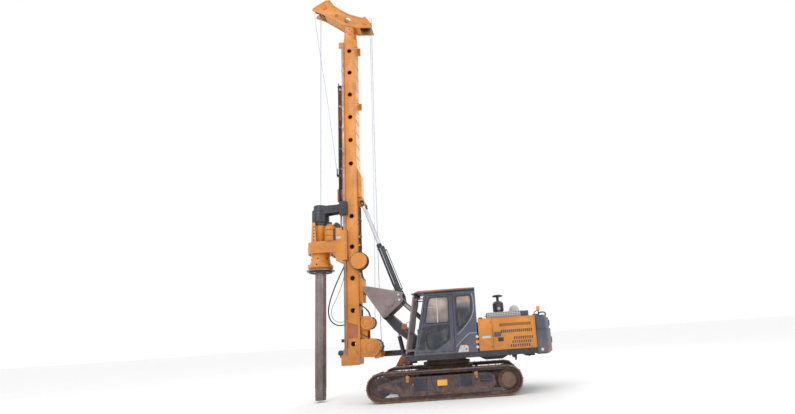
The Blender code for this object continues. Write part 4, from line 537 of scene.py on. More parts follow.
# ------------------------------------------------------------------ the CAD nodes' finishes
FINISH = {
    "orange_paint": "mast mast_head rotary_carriage reducer_left reducer_right kelly_drive winch_frame "
                    "service_winch_case engine_door_front engine_door_rear mast_knuckle",
    "slate_paint": "cab_shell cab_door counterweight engine_housing engine_door_right engine_hood side_tank "
                   "roof_guard",
    "black_paint": "upper_frame air_cleaner lower_boom upper_link lift_barrel tilt_barrel_left "
                   "tilt_barrel_right tilt_block_left tilt_block_right kelly_guide",
    "dark_iron": "engine tool_box main_winch_drum aux_winch_drum service_winch_drum main_sheave_front "
                 "main_sheave_rear driver_seat track_frame_left track_frame_right",
    "muddy_steel": "track_left track_right sprocket_left sprocket_right car_body",
    "dusty_paint": "mast_triangle front_guard",
    "bare_steel": "kelly_bar inner_kelly",
    "bright_rod": "tilt_rod_left tilt_rod_right lift_rod crowd_rod",
    "mud_brown": "crowd_cylinder",
    "pale_paint": "exhaust_cover",
    "window": "windscreen door_glass",
}


def smoothing():
    """Drops the imported normals and shades smooth across shallow edges only."""
    tree = bpy.data.node_groups.new("join_and_smooth", "GeometryNodeTree")
    tree.interface.new_socket("Geometry", in_out="INPUT", socket_type="NodeSocketGeometry")
    tree.interface.new_socket("Geometry", in_out="OUTPUT", socket_type="NodeSocketGeometry")
    start, end = tree.nodes.new("NodeGroupInput"), tree.nodes.new("NodeGroupOutput")
    plain = tree.nodes.new("GeometryNodeRemoveAttribute")
    plain.inputs["Name"].default_value = "custom_normal"
    angle = tree.nodes.new("GeometryNodeInputMeshEdgeAngle")
    steep = tree.nodes.new("FunctionNodeCompare")
    steep.inputs["B"].default_value = math.radians(33)
    sharp = tree.nodes.new("GeometryNodeSetShadeSmooth")
    sharp.domain = "EDGE"
    sharp.inputs["Shade Smooth"].default_value = False
    smooth = tree.nodes.new("GeometryNodeSetShadeSmooth")
    link = tree.links.new
    link(start.outputs[0], plain.inputs[0])
    link(plain.outputs[0], smooth.inputs[0])
    link(smooth.outputs[0], sharp.inputs[0])
    link(angle.outputs[0], steep.inputs["A"])
    link(steep.outputs[0], sharp.inputs["Selection"])
    link(sharp.outputs[0], end.inputs[0])
    return tree


SMOOTHING = smoothing()
SOFT_EDGED = ("cab_shell cab_door counterweight engine_housing engine_door_front engine_door_rear "
              "engine_door_right engine_hood side_tank tool_box mast mast_head mast_triangle roof_guard "
              "rotary_carriage winch_frame upper_frame lower_boom upper_link").split()
for look, names in FINISH.items():
    for name in names.split():
        node = frame["nodes"][name]
        node.data.materials.clear()
        node.data.materials.append(LOOK[look])
        weld = node.modifiers.new("weld", "WELD")
        weld.merge_threshold = 0.0001
        if name in SOFT_EDGED:
            flat = node.modifiers.new("flat", "DECIMATE")
            flat.decimate_type, flat.angle_limit = "DISSOLVE", math.radians(0.5)
            soft = node.modifiers.new("soft_edges", "BEVEL")
            soft.width, soft.segments, soft.limit_method = 0.006, 2, "ANGLE"
            soft.angle_limit = math.radians(45)
        node.modifiers.new("smooth", "NODES").node_group = SMOOTHING

# ------------------------------------------------------------------ mast
MAST_FACE = 0.22
LOWER_HOLES = [1.536 + 0.939 * k for k in range(5)]
UPPER_HOLES = [6.972 + 0.78 * k for k in range(6)]
HOLE_Y = -2.5975
trim = Piece("mast_trim", "leader", "orange_paint", bevel=0.001)
for side in (1, -1):
    face = MAST_FACE * side
    for y in (-2.765, -2.455):
        trim.box((face - 0.004, face + 0.004), (y, y + 0.025), (1.44, 11.27))
    for z in LOWER_HOLES + UPPER_HOLES:
        trim.ring((face, HOLE_Y, z), (1, 0, 0), 0.078, 0.007, 28, 6)
    for z in (2.62, 3.5, 5.62, 6.86, 7.4, 9.0, 10.6):
        trim.box((face - 0.004, face + 0.005), (-2.74, -2.455), (z, z + 0.012))
    trim.prism([(-2.73, 2.15), (-2.47, 1.66), (-2.47, 1.62), (-2.76, 1.62), (-2.76, 2.15)], face - 0.003,
               face + 0.003)
    for y, z in ((-2.9, 1.24), (-2.82, 1.36), (-2.6, 1.05), (-2.5, 1.15), (-2.5, 1.05)):
        trim.bolt((0.25 * side, y, z), (side, 0, 0), 0.014, 0.014)
    trim.lathe((0.25 * side, -2.7, 1.17), (side, 0, 0),
               [(-0.002, 0.06), (0.008, 0.06), (0.012, 0.05), (0.012, 0.02)])
    for z in (3.42, 4.4, 7.9, 9.9):
        trim.box((face - 0.003, face + 0.012), (-2.45, -2.425), (z, z + 0.09))
trim.box((-0.12, 0.12), (-2.424, -2.41), (1.5, 2.6))
for z in [1.6 + 0.4 * k for k in range(24)]:
    if not 2.6 < z < 3.5 and not 5.5 < z < 6.9:
        trim.box((-0.2, 0.2), (-2.424, -2.412), (z, z + 0.03))
trim.done()

rails = Piece("mast_rail_faces", "leader", "bare_steel", bevel=0.0008)
for side in (1, -1):
    low, high = (0.281, 0.2825) if side > 0 else (-0.2815, -0.281)
    rails.box((low, high), (-2.835, -2.785), (1.27, 11.12))
    for z in [1.6 + 0.6 * k for k in range(16)]:
        rails.lathe((0.25 * side, -2.835, z), (0, -1, 0), [(0, 0.011), (0.0006, 0.011), (0.0006, 0.006)], 16)
rails.done()

brown = Piece("mast_mud_patch", "leader", "mud_brown")
brown.prism(round_corners([(-2.755, 2.16), (-2.47, 2.06), (-2.47, 1.69), (-2.755, 1.69)], 0.03), 0.2203, 0.2235)
brown.done()

fittings = Piece("mast_fittings", "leader", "orange_paint", bevel=0.0015)
for side in (1, -1):
    s = MAST_FACE * side
    low, high = (s - 0.03, s + 0.035) if side > 0 else (s - 0.035, s + 0.03)
    fittings.box((low, high), (-2.93, -2.76), (11.0, 11.19))
    fittings.box((s - 0.03, s + 0.03), (-2.43, -2.34), (10.98, 11.24))
    for z in (11.18, 11.04):
        fittings.bolt((s + 0.03 * side, -2.385, z), (side, 0, 0), 0.016, 0.014)
    fittings.box((s - 0.02, s + 0.02), (-2.43, -2.33), (8.98, 9.2))
    fittings.bolt((s + 0.02 * side, -2.38, 9.09), (side, 0, 0), 0.016, 0.014)
    fittings.box((s - 0.02, s + 0.02), (-2.86, -2.78), (10.1, 10.2))
    fittings.box((0.16 * side - 0.004, 0.16 * side + 0.004), (-2.4, -2.33), (5.98, 6.55))
    for z in (6.0, 6.28, 6.55):
        fittings.bolt((0.16 * side, -2.35, z), (side, 0, 0), 0.012, 0.01)
    fittings.lathe((0.1 * side, -2.285, 5.7), (side, 0, 0),
                   [(0.0, 0.06), (0.02, 0.06), (0.026, 0.05), (0.026, 0.02)])
fittings.prism([(-2.95, 1.3), (-2.95, 1.16), (-3.0, 1.2), (-3.0, 1.27)], -0.2, 0.2)
for z in (4.62, 4.36, 3.5):
    fittings.box((0.17, 0.225), (-2.425, -2.35), (z, z + 0.05))
fittings.done()

dark = Piece("mast_dark_parts", "leader", "black_paint", bevel=0.0015)
dark.lathe((0.17, -2.955, 1.31), (1, 0, 0), [(0, 0.075), (0.09, 0.075), (0.1, 0.06), (0.1, 0.03), (0.11, 0.03)])
dark.box((0.18, 0.25), (-2.93, -2.85), (1.6, 1.69))
dark.tube([(0.14, -2.39, 4.7), (0.16, -2.34, 4.68), (0.16, -2.33, 4.4), (0.15, -2.35, 4.2)], 0.014)
dark.tube([(0.1, -2.39, 4.6), (0.12, -2.35, 4.55), (0.12, -2.33, 4.3), (0.1, -2.36, 4.15)], 0.012)
for x in (0.05, 0.09, -0.05, -0.09):
    route = [(x, -2.29, 3.36), (x, -2.37, 3.5), (x, -2.395, 3.9), (x, -2.395, 5.6)]
    dark.pipe(route, 0.06, 0.013)
for z in (3.7, 4.2, 4.7, 5.2):
    dark.box((-0.13, 0.13), (-2.42, -2.378), (z, z + 0.035))
dark.done()

# ------------------------------------------------------------------ mast head and ropes
head = Piece("head_trim", "leader", "orange_paint", bevel=0.0015)
OUTLINE = [(-3.83, 12.52), (-3.8, 12.6), (-3.58, 12.74), (-3.38, 12.86), (-3.24, 12.87), (-3.1, 12.65),
           (-2.91, 12.49), (-2.62, 12.28), (-2.32, 12.15), (-2.14, 12.09), (-2.066, 12.131), (-1.91, 11.92),
           (-1.852, 11.7), (-2.393, 11.733), (-2.88, 11.9), (-3.186, 12.129), (-3.5, 12.36)]
for side in (1, -1):
    low, high = sorted((0.199 * side, 0.207 * side))
    head.frame(OUTLINE, 0.035, low, high)
    for place in ((-3.417, 12.6), (-2.08, 11.9)):
        head.lathe((0.2 * side, *place), (side, 0, 0),
                   [(0, 0.085), (0.018, 0.085), (0.018, 0.05), (0.034, 0.045), (0.034, 0.01)])
        head.bolts((0.218 * side, *place), (side, 0, 0), 0.067, 6, 0.008, 0.008)
    for place in ((-3.66, 12.56), (-2.02, 11.87)):
        head.lathe((0.2 * side, *place), (side, 0, 0), [(0, 0.035), (0.016, 0.035), (0.016, 0.01)])
    head.bolts((0.2 * side, -2.6, 11.62), (side, 0, 0), 0.09, 4, 0.014, 0.012, 0.785)
    head.box((0.18 * side - 0.012, 0.18 * side + 0.012), (-2.78, -2.42), (11.281, 11.33))
for y0, y1, z0, z1 in ((-3.24, -3.18, 12.6, 12.63), (-2.36, -2.3, 12.02, 12.05), (-3.1, -3.04, 12.2, 12.5),
                       (-2.5, -2.46, 11.9, 12.1)):
    head.box((-0.171, 0.171), (y0, y1), (z0, z1))
head.prism([(-2.82, 11.28), (-2.74, 11.28), (-2.74, 11.75), (-2.8, 11.78)], -0.03, 0.03)
head.prism([(-2.46, 11.28), (-2.39, 11.28), (-2.42, 11.7), (-2.46, 11.7)], -0.03, 0.03)
head.done()


def wheel(piece, place, radius, x, half):
    y, z = place
    profile = [(-half, 0.03), (-half, radius), (-half * 0.7, radius + 0.004), (-half * 0.3, radius - 0.02),
               (half * 0.3, radius - 0.02), (half * 0.7, radius + 0.004), (half, radius), (half, 0.03)]
    piece.lathe((x, y, z), (1, 0, 0), profile, 32)


AUX_FRONT, AUX_REAR = (-3.66, 12.56), (-2.02, 11.87)
sheaves = Piece("aux_sheaves", "leader", "dark_iron", bevel=0.001)
for place in (AUX_FRONT, AUX_REAR):
    wheel(sheaves, place, 0.105, 0.1, 0.018)
    sheaves.rod((-0.17, *place), (0.17, *place), 0.022, 16)
sheaves.done()


def rope_strands(piece, points, radius):
    """A rope: three strands laid round the line through the points."""
    line = smooth_path(points, 0.05)
    for strand in range(3):
        walked, spun, across = 0.0, [], Vector((1, 0, 0))
        for i, point in enumerate(line):
            along = (line[min(i + 1, len(line) - 1)] - line[max(i - 1, 0)]).normalized()
            side = (across - along * across.dot(along)).normalized()
            up = along.cross(side)
            angle = 2 * math.pi * (walked / 0.3 + strand / 3)
            spun.append(point + (side * math.cos(angle) + up * math.sin(angle)) * radius * 0.5)
            walked += 0.05
        piece.tube(spun, radius * 0.58, 5)


def over(place, radius, start, stop, x, steps=14):
    """Points round a sheave between two angles, in the Y-Z plane."""
    return [(x, place[0] + radius * math.cos(a), place[1] + radius * math.sin(a))
            for a in (start + (stop - start) * i / steps for i in range(steps + 1))]


ropes = Piece("mast_ropes", "leader", "rope", "bare_steel")
MAIN_FRONT, MAIN_REAR = (-3.417, 12.6), (-2.08, 11.9)
lean = math.atan2(MAIN_REAR[1] - MAIN_FRONT[1], MAIN_REAR[0] - MAIN_FRONT[0])
rope_strands(ropes, over(MAIN_FRONT, 0.186, math.pi, lean + math.pi / 2, 0)
             + over(MAIN_REAR, 0.186, lean + math.pi / 2, 0.0, 0)
             + [(0.02, -1.89, 8.0), (0.03, -1.87, 4.0), (0.03, -1.84, 1.5)], 0.0095)
lean = math.atan2(AUX_REAR[1] - AUX_FRONT[1], AUX_REAR[0] - AUX_FRONT[0])
rope_strands(ropes, [(0.29, -3.0, 6.7), (0.27, -3.06, 7.1), (0.17, -3.3, 8.9), (0.12, -3.52, 10.4),
                     (0.1, -3.755, 12.2)] + over(AUX_FRONT, 0.098, math.pi, lean + math.pi / 2, 0.1)
             + over(AUX_REAR, 0.098, lean + math.pi / 2, 0.0, 0.1)
             + [(0.1, -1.925, 8.0), (0.09, -1.96, 4.0), (0.08, -2.0, 2.18)], 0.0075)
ropes.done()
fall = Piece("kelly_rope", "leader", "rope", "bare_steel")
rope_strands(fall, [(0, -3.603, 12.6), (0, -3.605, 9.0), (0, -3.607, 3.1)], 0.0105)
fall_piece = fall.done()
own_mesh(fall_piece)
hook = Piece("aux_hook", "leader", "dark_iron", bevel=0.001)
hook.ring((0.29, -3.0, 6.655), (0, 1, 0), 0.03, 0.01, 20, 8)
hook.lathe((0.29, -3.0, 6.69), (0, 0, 1), [(0, 0.02), (0.09, 0.016), (0.12, 0.009)], 14)
hook.box((0.2, 0.3), (-3.02, -2.98), (6.58, 6.635))
hook.box((0.2, 0.235), (-3.02, -2.8), (6.56, 6.64))
hook.done()

# ------------------------------------------------------------------ crowd cylinder
clamps = Piece("crowd_clamps", "leader", "pale_paint", bevel=0.002)
for z in (6.88, 7.55, 8.28, 9.0, 9.6):
    clamps.lathe((0, -2.98, z), (0, 0, 1), [(-0.03, 0.066), (-0.03, 0.075), (0.03, 0.075), (0.03, 0.066)])
    clamps.box((0.062, 0.092), (-3.02, -2.94), (z - 0.03, z + 0.03))
clamps.done()
pipes = Piece("crowd_pipes", "leader", "hose", "black_paint")
for x, y, z0, z1 in ((0.1, -2.995, 6.0, 9.64), (0.1, -2.955, 5.6, 8.4)):
    pipes.pipe([(0.16, -2.86, z0 - 0.25), (0.13, -2.94, z0 - 0.1), (x, y, z0 + 0.1), (x, y, z1 - 0.1),
                (0.085, y, z1), (0.05, -2.98, z1 + 0.02)], 0.05, 0.014)
pipes.pipe([(0.235, -2.82, 6.1), (0.24, -2.83, 7.0), (0.235, -2.82, 9.3)], 0.1, 0.012)
pipes.done()
caps = Piece("crowd_caps", "leader", "dark_iron", bevel=0.001)
caps.lathe((0, -2.98, 9.7), (0, 0, 1), [(0, 0.072), (0.05, 0.072), (0.06, 0.06), (0.06, 0.02)])
caps.lathe((0, -2.98, 6.16), (0, 0, 1), [(0.005, 0.074), (0.09, 0.074), (0.1, 0.066)])
caps.bolts((0, -2.98, 9.76), (0, 0, 1), 0.045, 6, 0.009, 0.009)
caps.done()

# ------------------------------------------------------------------ rotary carriage and drive
KELLY = (0, -3.607)
REDUCER_X, REDUCER_Y = 0.22, -3.245
CARRIAGE_FACE = 0.34
rig = Piece("carriage_trim", "carriage", "orange_paint", bevel=0.0015)
rig.bolts((*KELLY, 4.55), (0, 0, 1), 0.335, 26, 0.013, 0.012, 0.3)
for side in (1, -1):
    rig.prism([(-3.74, 4.56), (-3.66, 4.56), (-3.7, 5.1)], 0.236 * side, 0.242 * side)
    x, y = REDUCER_X * side, REDUCER_Y
    for z in (4.555, 4.72, 4.89):
        rig.lathe((x, y, z), (0, 0, 1), [(0, 0.16), (0, 0.18), (0.016, 0.18), (0.016, 0.16)], 32)
    rig.bolts((x, y, 4.571), (0, 0, 1), 0.171, 14, 0.009, 0.01)
    rig.bolts((x, y, 4.736), (0, 0, 1), 0.171, 14, 0.008, 0.009)
    rig.box((CARRIAGE_FACE * side - 0.004, CARRIAGE_FACE * side + 0.004), (-3.04, -2.72), (4.545, 4.56))
    rig.box((CARRIAGE_FACE * side - 0.004, CARRIAGE_FACE * side + 0.004), (-3.04, -2.72), (4.2, 4.215))
    for z in (4.0, 4.14, 4.28, 4.42, 4.62, 4.76):
        rig.bolt((CARRIAGE_FACE * side, -2.76, z), (side, 0, 0), 0.014, 0.013)
    for y in (-3.02, -2.93):
        rig.bolt((CARRIAGE_FACE * side, y, 4.5), (side, 0, 0), 0.013, 0.012)
    rig.prism([(-3.05, 4.93), (-2.9, 4.93), (-2.9, 5.0), (-3.0, 5.0)], 0.2 * side, 0.215 * side)
rig.frame([(-3.96, 4.23), (-3.96, 4.53), (-3.06, 4.53), (-3.06, 4.23)], 0.02, -0.002, 0.002)
rig.lathe((0.3, -3.22, 4.555), (0, 0, 1), [(0, 0.02), (0.02, 0.02), (0.03, 0.012)], 12)
rig.done()

wear = Piece("carriage_wear_pads", "carriage", "mud_brown", bevel=0.001)
for side in (1, -1):
    low, high = sorted((CARRIAGE_FACE * side, 0.3425 * side))
    for z0, z1 in ((3.955, 4.16), (4.22, 4.43), (4.5, 4.68), (4.7, 4.845)):
        wear.frame([(-2.775, z0), (-2.715, z0), (-2.715, z1), (-2.775, z1)], 0.008, low, high)
    a, b = sorted((0.227 * side, 0.338 * side))
    wear.box((a, b), (-2.712, -2.708), (3.955, 4.845))
wear.done()

black = Piece("carriage_fittings", "carriage", "black_paint", bevel=0.001)
for side in (1, -1):
    for z in (4.62, 4.72, 4.82, 4.92, 5.02):
        black.bolt((0.3 * side, -3.715, z), (side, 0, 0), 0.016, 0.016)
    x = REDUCER_X * side
    black.lathe((x, REDUCER_Y, 5.085), (0, 0, 1),
                [(0, 0.055), (0.045, 0.055), (0.05, 0.045), (0.062, 0.045), (0.066, 0.02)], 20)
    black.lathe((x, -3.19, 5.03), (0, 1, 0.3), [(0, 0.026), (0.07, 0.026), (0.075, 0.02)], 16)
    for end in (x - 0.05, x + 0.05):
        route = [(end, -3.13, 5.04), (end, -3.06, 5.1), (end, -2.98, 5.06), (end, -2.945, 4.92)]
        black.pipe(route, 0.02, 0.017, 10)
    black.box((0.27 * side - 0.04, 0.27 * side + 0.04), (-3.04, -2.95), (4.92, 5.06))
    for z in (4.95, 4.98, 5.01, 5.04):
        black.box((0.27 * side - 0.045, 0.27 * side + 0.045), (-3.045, -2.945), (z, z + 0.012))
black.box((0.3, 0.338), (-3.12, -3.06), (4.56, 4.9))
for y, z in ((-3.16, 4.2), (-3.2, 4.19)):
    black.pipe([(0.2, y, 4.21), (0.2, y + 0.02, 4.1), (0.22, -3.06, 4.05), (0.22, -3.04, 4.15)], 0.02, 0.012)
black.bolts((*KELLY, 4.21), (0, 0, -1), 0.32, 24, 0.012, 0.012)
black.done()
label = Piece("carriage_label", "carriage", "pale_paint", bevel=0.0005)
label.prism(round_corners([(-3.03, 4.6), (-2.89, 4.6), (-2.89, 4.665), (-3.03, 4.665)], 0.008), 0.3402, 0.343)
label.done()

bell = Piece("bell_bolts", "drive", "dark_iron", bevel=0.0006)
for k in range(6):
    angle = math.pi / 3 * k
    out = Vector((math.cos(angle), math.sin(angle), 0))
    for z, radius in ((4.06, 0.268), (3.88, 0.354)):
        bell.bolt(Vector((*KELLY, z)) + out * radius, out + Vector((0, 0, 0.25)), 0.017, 0.014)
bell.bolts((*KELLY, 3.73), (0, 0, 1), 0.382, 30, 0.009, 0.009)
bell.lathe((*KELLY, 3.66), (0, 0, 1), [(0.02, 0.27), (0.0, 0.28), (0.0, 0.33), (0.044, 0.33), (0.044, 0.27)], 48)
bell.done()
ring = Piece("bell_ring", "drive", "bare_steel", bevel=0.001)
ring.lathe((*KELLY, 3.7), (0, 0, 1), [(0.004, 0.2), (0.0035, 0.402), (0.032, 0.402), (0.034, 0.31)], 64)
ring.done()

cage = Piece("guide_trim", "guide", "black_paint", bevel=0.0015)
for z in (5.2, 5.32, 5.44, 5.54):
    cage.lathe((*KELLY, z), (0, 0, 1), [(-0.008, 0.24), (-0.008, 0.253), (0.008, 0.253), (0.008, 0.24)], 36)
for k in range(10):
    angle = 2 * math.pi * k / 10 + 0.2
    out = Vector((math.cos(angle), math.sin(angle), 0))
    cage.rod(Vector((*KELLY, 5.19)) + out * 0.245, Vector((*KELLY, 5.56)) + out * 0.245, 0.012, 8)
cage.bolts((*KELLY, 5.702), (0, 0, 1), 0.12, 10, 0.014, 0.014)
cage.lathe((*KELLY, 5.69), (0, 0, 1), [(0.0, 0.212), (0.022, 0.212), (0.03, 0.2), (0.03, 0.18)], 40)
for side in (1, -1):
    for z in (5.35, 5.43, 5.51, 5.59, 5.67):
        low, high = sorted((0.338 * side, 0.35 * side))
        cage.box((low, high), (-2.87, -2.715), (z, z + 0.035))
    for y in (-3.42, -3.25, -3.1, -2.98):
        cage.bolt((0.18 * side, y, 5.6), (side, 0, 0), 0.014, 0.013)
        low, high = sorted((0.18 * side, 0.19 * side))
        cage.box((low, high), (y - 0.07, y - 0.05), (5.46, 5.69))
cage.done()

bar = Piece("kelly_keys", "kelly", "bare_steel", bevel=0.001)
for k in range(12):
    angle = 2 * math.pi * k / 12 + 0.13
    out = Vector((math.cos(angle), math.sin(angle), 0))
    across = Vector((-out.y, out.x, 0))
    wide = 0.016 if k % 2 else 0.009
    high = 0.158 if k % 2 else 0.1545
    rings = []
    for z, reach in ((0.34, 0.147), (0.37, high), (5.3, high), (5.34, 0.147)):
        middle = Vector((*KELLY, z))
        rings.append([middle + out * 0.146 - across * wide, middle + out * reach - across * wide * 0.8,
                      middle + out * reach + across * wide * 0.8, middle + out * 0.146 + across * wide])
    bar.loft(rings)
for z in (0.17, 0.3):
    bar.lathe((*KELLY, z), (0, 0, 1), [(-0.006, 0.148), (-0.004, 0.157), (0.022, 0.157), (0.026, 0.148)], 40)
bar.done()
lugs = Piece("kelly_foot", "kelly_core", "bare_steel", bevel=0.002)
lugs.lathe((*KELLY, 0.05), (0, 0, 1), [(0.0, 0.1), (0.0, 0.142), (0.02, 0.148), (0.05, 0.148), (0.06, 0.13)], 40)
lugs.bolts((*KELLY, 0.1), (0, 0, 1), 0.135, 8, 0.008, 0.008)
lugs.done()

# ------------------------------------------------------------------ winches
MAIN_WINCH, AUX_WINCH, SERVICE_WINCH = (-2.064, 1.401), (-2.188, 2.099), (-2.351, 3.876)
discs = Piece("winch_trim", "leader", "orange_paint", bevel=0.0015)
for (y, z), face, cover, bolt_count in ((MAIN_WINCH, 0.351, 0.262, 18), (AUX_WINCH, 0.281, 0.2, 14),
                                        (SERVICE_WINCH, 0.45, 0.24, 16)):
    discs.bolts((face - 0.018, y, z), (1, 0, 0), cover - 0.012, bolt_count, 0.009, 0.01)
    discs.ring((face, y, z), (1, 0, 0), cover * 0.62, 0.008, 36, 8)
    discs.lathe((face, y, z), (1, 0, 0), [(0, cover * 0.42), (0.012, cover * 0.4), (0.016, cover * 0.3),
                                          (0.016, 0.02)], 32)
    discs.bolt((face + 0.014, y, z), (1, 0, 0), 0.018, 0.014)
    discs.bolts((face + 0.005, y, z), (1, 0, 0), cover * 0.3, 6, 0.007, 0.012)
for side in (1, -1):
    low, high = sorted((0.268 * side, 0.29 * side))
    discs.prism(round_corners([(-1.99, 1.1), (-1.86, 1.1), (-1.8, 1.22), (-1.84, 1.3), (-2.02, 1.3)], 0.03), low,
                high)
    discs.lathe((high if side > 0 else low, -1.88, 1.17), (side, 0, 0),
                [(0, 0.035), (0.014, 0.035), (0.014, 0.012)], 18)
    discs.box((0.16 * side - 0.01, 0.16 * side + 0.01), (-2.385, -2.2), (1.66, 1.9))
discs.rod((-0.29, -1.88, 1.17), (0.29, -1.88, 1.17), 0.018, 12)
discs.box((-0.28, 0.28), (-2.4, -2.37), (1.7, 1.76))
discs.done()
motors = Piece("winch_motors", "leader", "dark_iron", bevel=0.0015)
for (y, z), face, size in ((MAIN_WINCH, -0.375, 0.12), (AUX_WINCH, -0.3, 0.09)):
    motors.lathe((face, y, z), (-1, 0, 0), [(-0.01, size), (0.06, size), (0.07, size * 0.8), (0.13, size * 0.8),
                                            (0.14, size * 0.6), (0.15, size * 0.2)], 28)
    motors.bolts((face - 0.06, y, z), (-1, 0, 0), size * 0.88, 8, 0.008, 0.01)
    motors.box((face - 0.12, face - 0.03), (y - 0.03, y + 0.03), (z + size * 0.6, z + size * 1.15))
motors.box((-0.1, 0.12), (-2.385, -2.3), (1.73, 1.86))
for x in (-0.06, 0.0, 0.06):
    motors.lathe((x, -2.31, 1.795), (0, 1, 0), [(0, 0.016), (0.05, 0.016), (0.055, 0.01)], 12)
motors.done()
pipes = Piece("winch_hoses", "leader", "hose", "black_paint")
for x, dy in ((-0.4, 0.0), (-0.44, 0.03)):
    route = [(x, -2.06 + dy, 1.53), (x + 0.02, -2.2 + dy, 1.62), (-0.2, -2.39, 1.72), (-0.1, -2.395, 1.9),
             (-0.08, -2.395, 2.5)]
    pipes.pipe(route, 0.03, 0.014)
for x in (0.1, 0.145, 0.19):
    route = [(x, -2.12, 2.27), (x, -2.17, 2.42), (x, -2.3, 2.56), (x * 0.9, -2.385, 2.6), (x * 0.7, -2.4, 2.66)]
    pipes.pipe(route, 0.03, 0.013)
pipes.pipe([(0.25, -2.33, 1.8), (0.29, -2.28, 1.76), (0.29, -2.2, 1.72), (0.22, -2.14, 1.72)], 0.02, 0.012)
pipes.done()


def winding(name, body, place, low, high, core, rope, layers):
    """Rope laid turn beside turn on a drum."""
    piece = Piece(name, body, "rope", "bare_steel")
    for layer in range(layers):
        turns = int((high - low) / (rope * 2.02))
        radius = core + rope * (0.9 + 1.75 * layer)
        steps = 20
        points = []
        for i in range(turns * steps + 1):
            share = i / (turns * steps)
            share = share if layer % 2 == 0 else 1 - share
            a = 2 * math.pi * i / steps
            points.append((low + rope + (high - low - 2 * rope) * share, place[0] + radius * math.cos(a),
                           place[1] + radius * math.sin(a)))
        piece.tube(points, rope, 6)
    piece.done()


winding("main_winding", "main_drum", MAIN_WINCH, -0.222, 0.222, 0.152, 0.0105, 3)
winding("aux_winding", "aux_drum", AUX_WINCH, -0.152, 0.152, 0.112, 0.0085, 3)
winding("service_winding", "service_drum", SERVICE_WINCH, 0.28, 0.382, 0.152, 0.0085, 4)

# ------------------------------------------------------------------ triangle, boom, link, cylinders
plates = Piece("triangle_trim", "triangle", "dusty_paint", bevel=0.001)
for side in (1, -1):
    face = 0.34 * side
    for (y, z), radius in (((-1.533, 2.665), 0.172), ((-1.963, 2.872), 0.055), ((-1.667, 2.31), 0.075),
                           ((-1.25, 2.83), 0.06), ((-1.23, 2.68), 0.058), ((-2.156, 3.037), 0.08)):
        plates.ring((face, y, z), (1, 0, 0), radius, 0.007, 36, 6)
        plates.lathe((face, y, z), (side, 0, 0),
                     [(-0.001, radius * 0.95), (0.006, radius * 0.93), (0.006, radius * 0.5)], 30)
    plates.lathe((0.36 * side, -1.533, 2.665), (side, 0, 0),
                 [(-0.002, 0.14), (0.008, 0.135), (0.008, 0.1), (0.003, 0.095), (0.003, 0.02)], 40)
    plates.bolts((0.36 * side, -1.533, 2.665), (side, 0, 0), 0.152, 8, 0.008, 0.008)
    for y, z in ((-1.667, 2.31), (-2.156, 3.037)):
        plates.box((0.355 * side - 0.004, 0.355 * side + 0.006), (y - 0.045, y + 0.045), (z - 0.013, z + 0.013),
                   0.5)
        plates.bolts((0.357 * side, y, z), (side, 0, 0), 0.032, 2, 0.007, 0.01, 0.5)
plates.done()
pins = Piece("triangle_pin_ends", "triangle", "bright_rod", bevel=0.001)
for side in (1, -1):
    for y, z in ((-1.23, 2.68), (-1.25, 2.83)):
        pins.lathe((0.356 * side, y, z), (side, 0, 0),
                   [(-0.002, 0.034), (0.007, 0.034), (0.01, 0.03), (0.01, 0.016)], 24)
pins.done()
bundle = Piece("linkage_hoses", "triangle", "hose", "black_paint")
for k, x in enumerate((0.24, 0.27, 0.295)):
    drop = 0.012 * k
    route = [(x, -2.12, 2.86 - drop), (x, -2.05, 2.76 - drop), (x, -1.86, 2.47 - drop), (x, -1.7, 2.22 - drop),
             (x, -1.58, 2.16 - drop), (x, -1.5, 2.19)]
    bundle.pipe(route, 0.04, 0.016)
    bundle.pipe([(-p[0], p[1], p[2]) for p in route], 0.04, 0.016)
bundle.done()
BOOM_FOOT, LINK_FOOT = (-0.75, 1.42), (-0.313, 1.79)
boom = Piece("boom_trim", "boom", "black_paint", bevel=0.0015)
along = Vector((0, -0.917, 0.89)).normalized()
up = Vector((0, -along.z, along.y)) * -1
for side in (1, -1):
    for share in (0.16, 0.38, 0.62, 0.84):
        middle = Vector((0.17 * side, *BOOM_FOOT)) + along * 1.278 * share
        boom.bolt(middle, (side, 0, 0), 0.018, 0.012)
    start = Vector((0.171 * side, *BOOM_FOOT))
    boom.tube([start + along * 0.15 + up * 0.06, start + along * 1.1 + up * 0.06], 0.008, 6)
    boom.tube([start + along * 0.15 - up * 0.06, start + along * 1.1 - up * 0.06], 0.008, 6)
boom.done()
lines = Piece("boom_hoses", "boom", "hose", "black_paint")
for x in (-0.09, -0.045, 0.0, 0.045, 0.09):
    start = Vector((x, *BOOM_FOOT))
    lines.tube([start + along * 0.12 - up * 0.118, start + along * 0.6 - up * 0.126,
                start + along * 1.12 - up * 0.118], 0.014, 8)
lines.done()
linkage = Piece("link_trim", "link", "pale_paint", bevel=0.0015)
for side in (1, -1):
    start = Vector((0.1 * side, *LINK_FOOT))
    middle = start + along * 0.92
    linkage.box(sorted((0.1 * side, 0.108 * side)), (middle.y - 0.2, middle.y + 0.2),
                (middle.z - 0.035, middle.z + 0.035), -0.77)
    linkage.lathe(middle + Vector((0.008 * side, 0, 0)), (side, 0, 0),
                  [(-0.002, 0.03), (0.012, 0.03), (0.015, 0.02), (0.015, 0.01)], 20)
linkage.done()

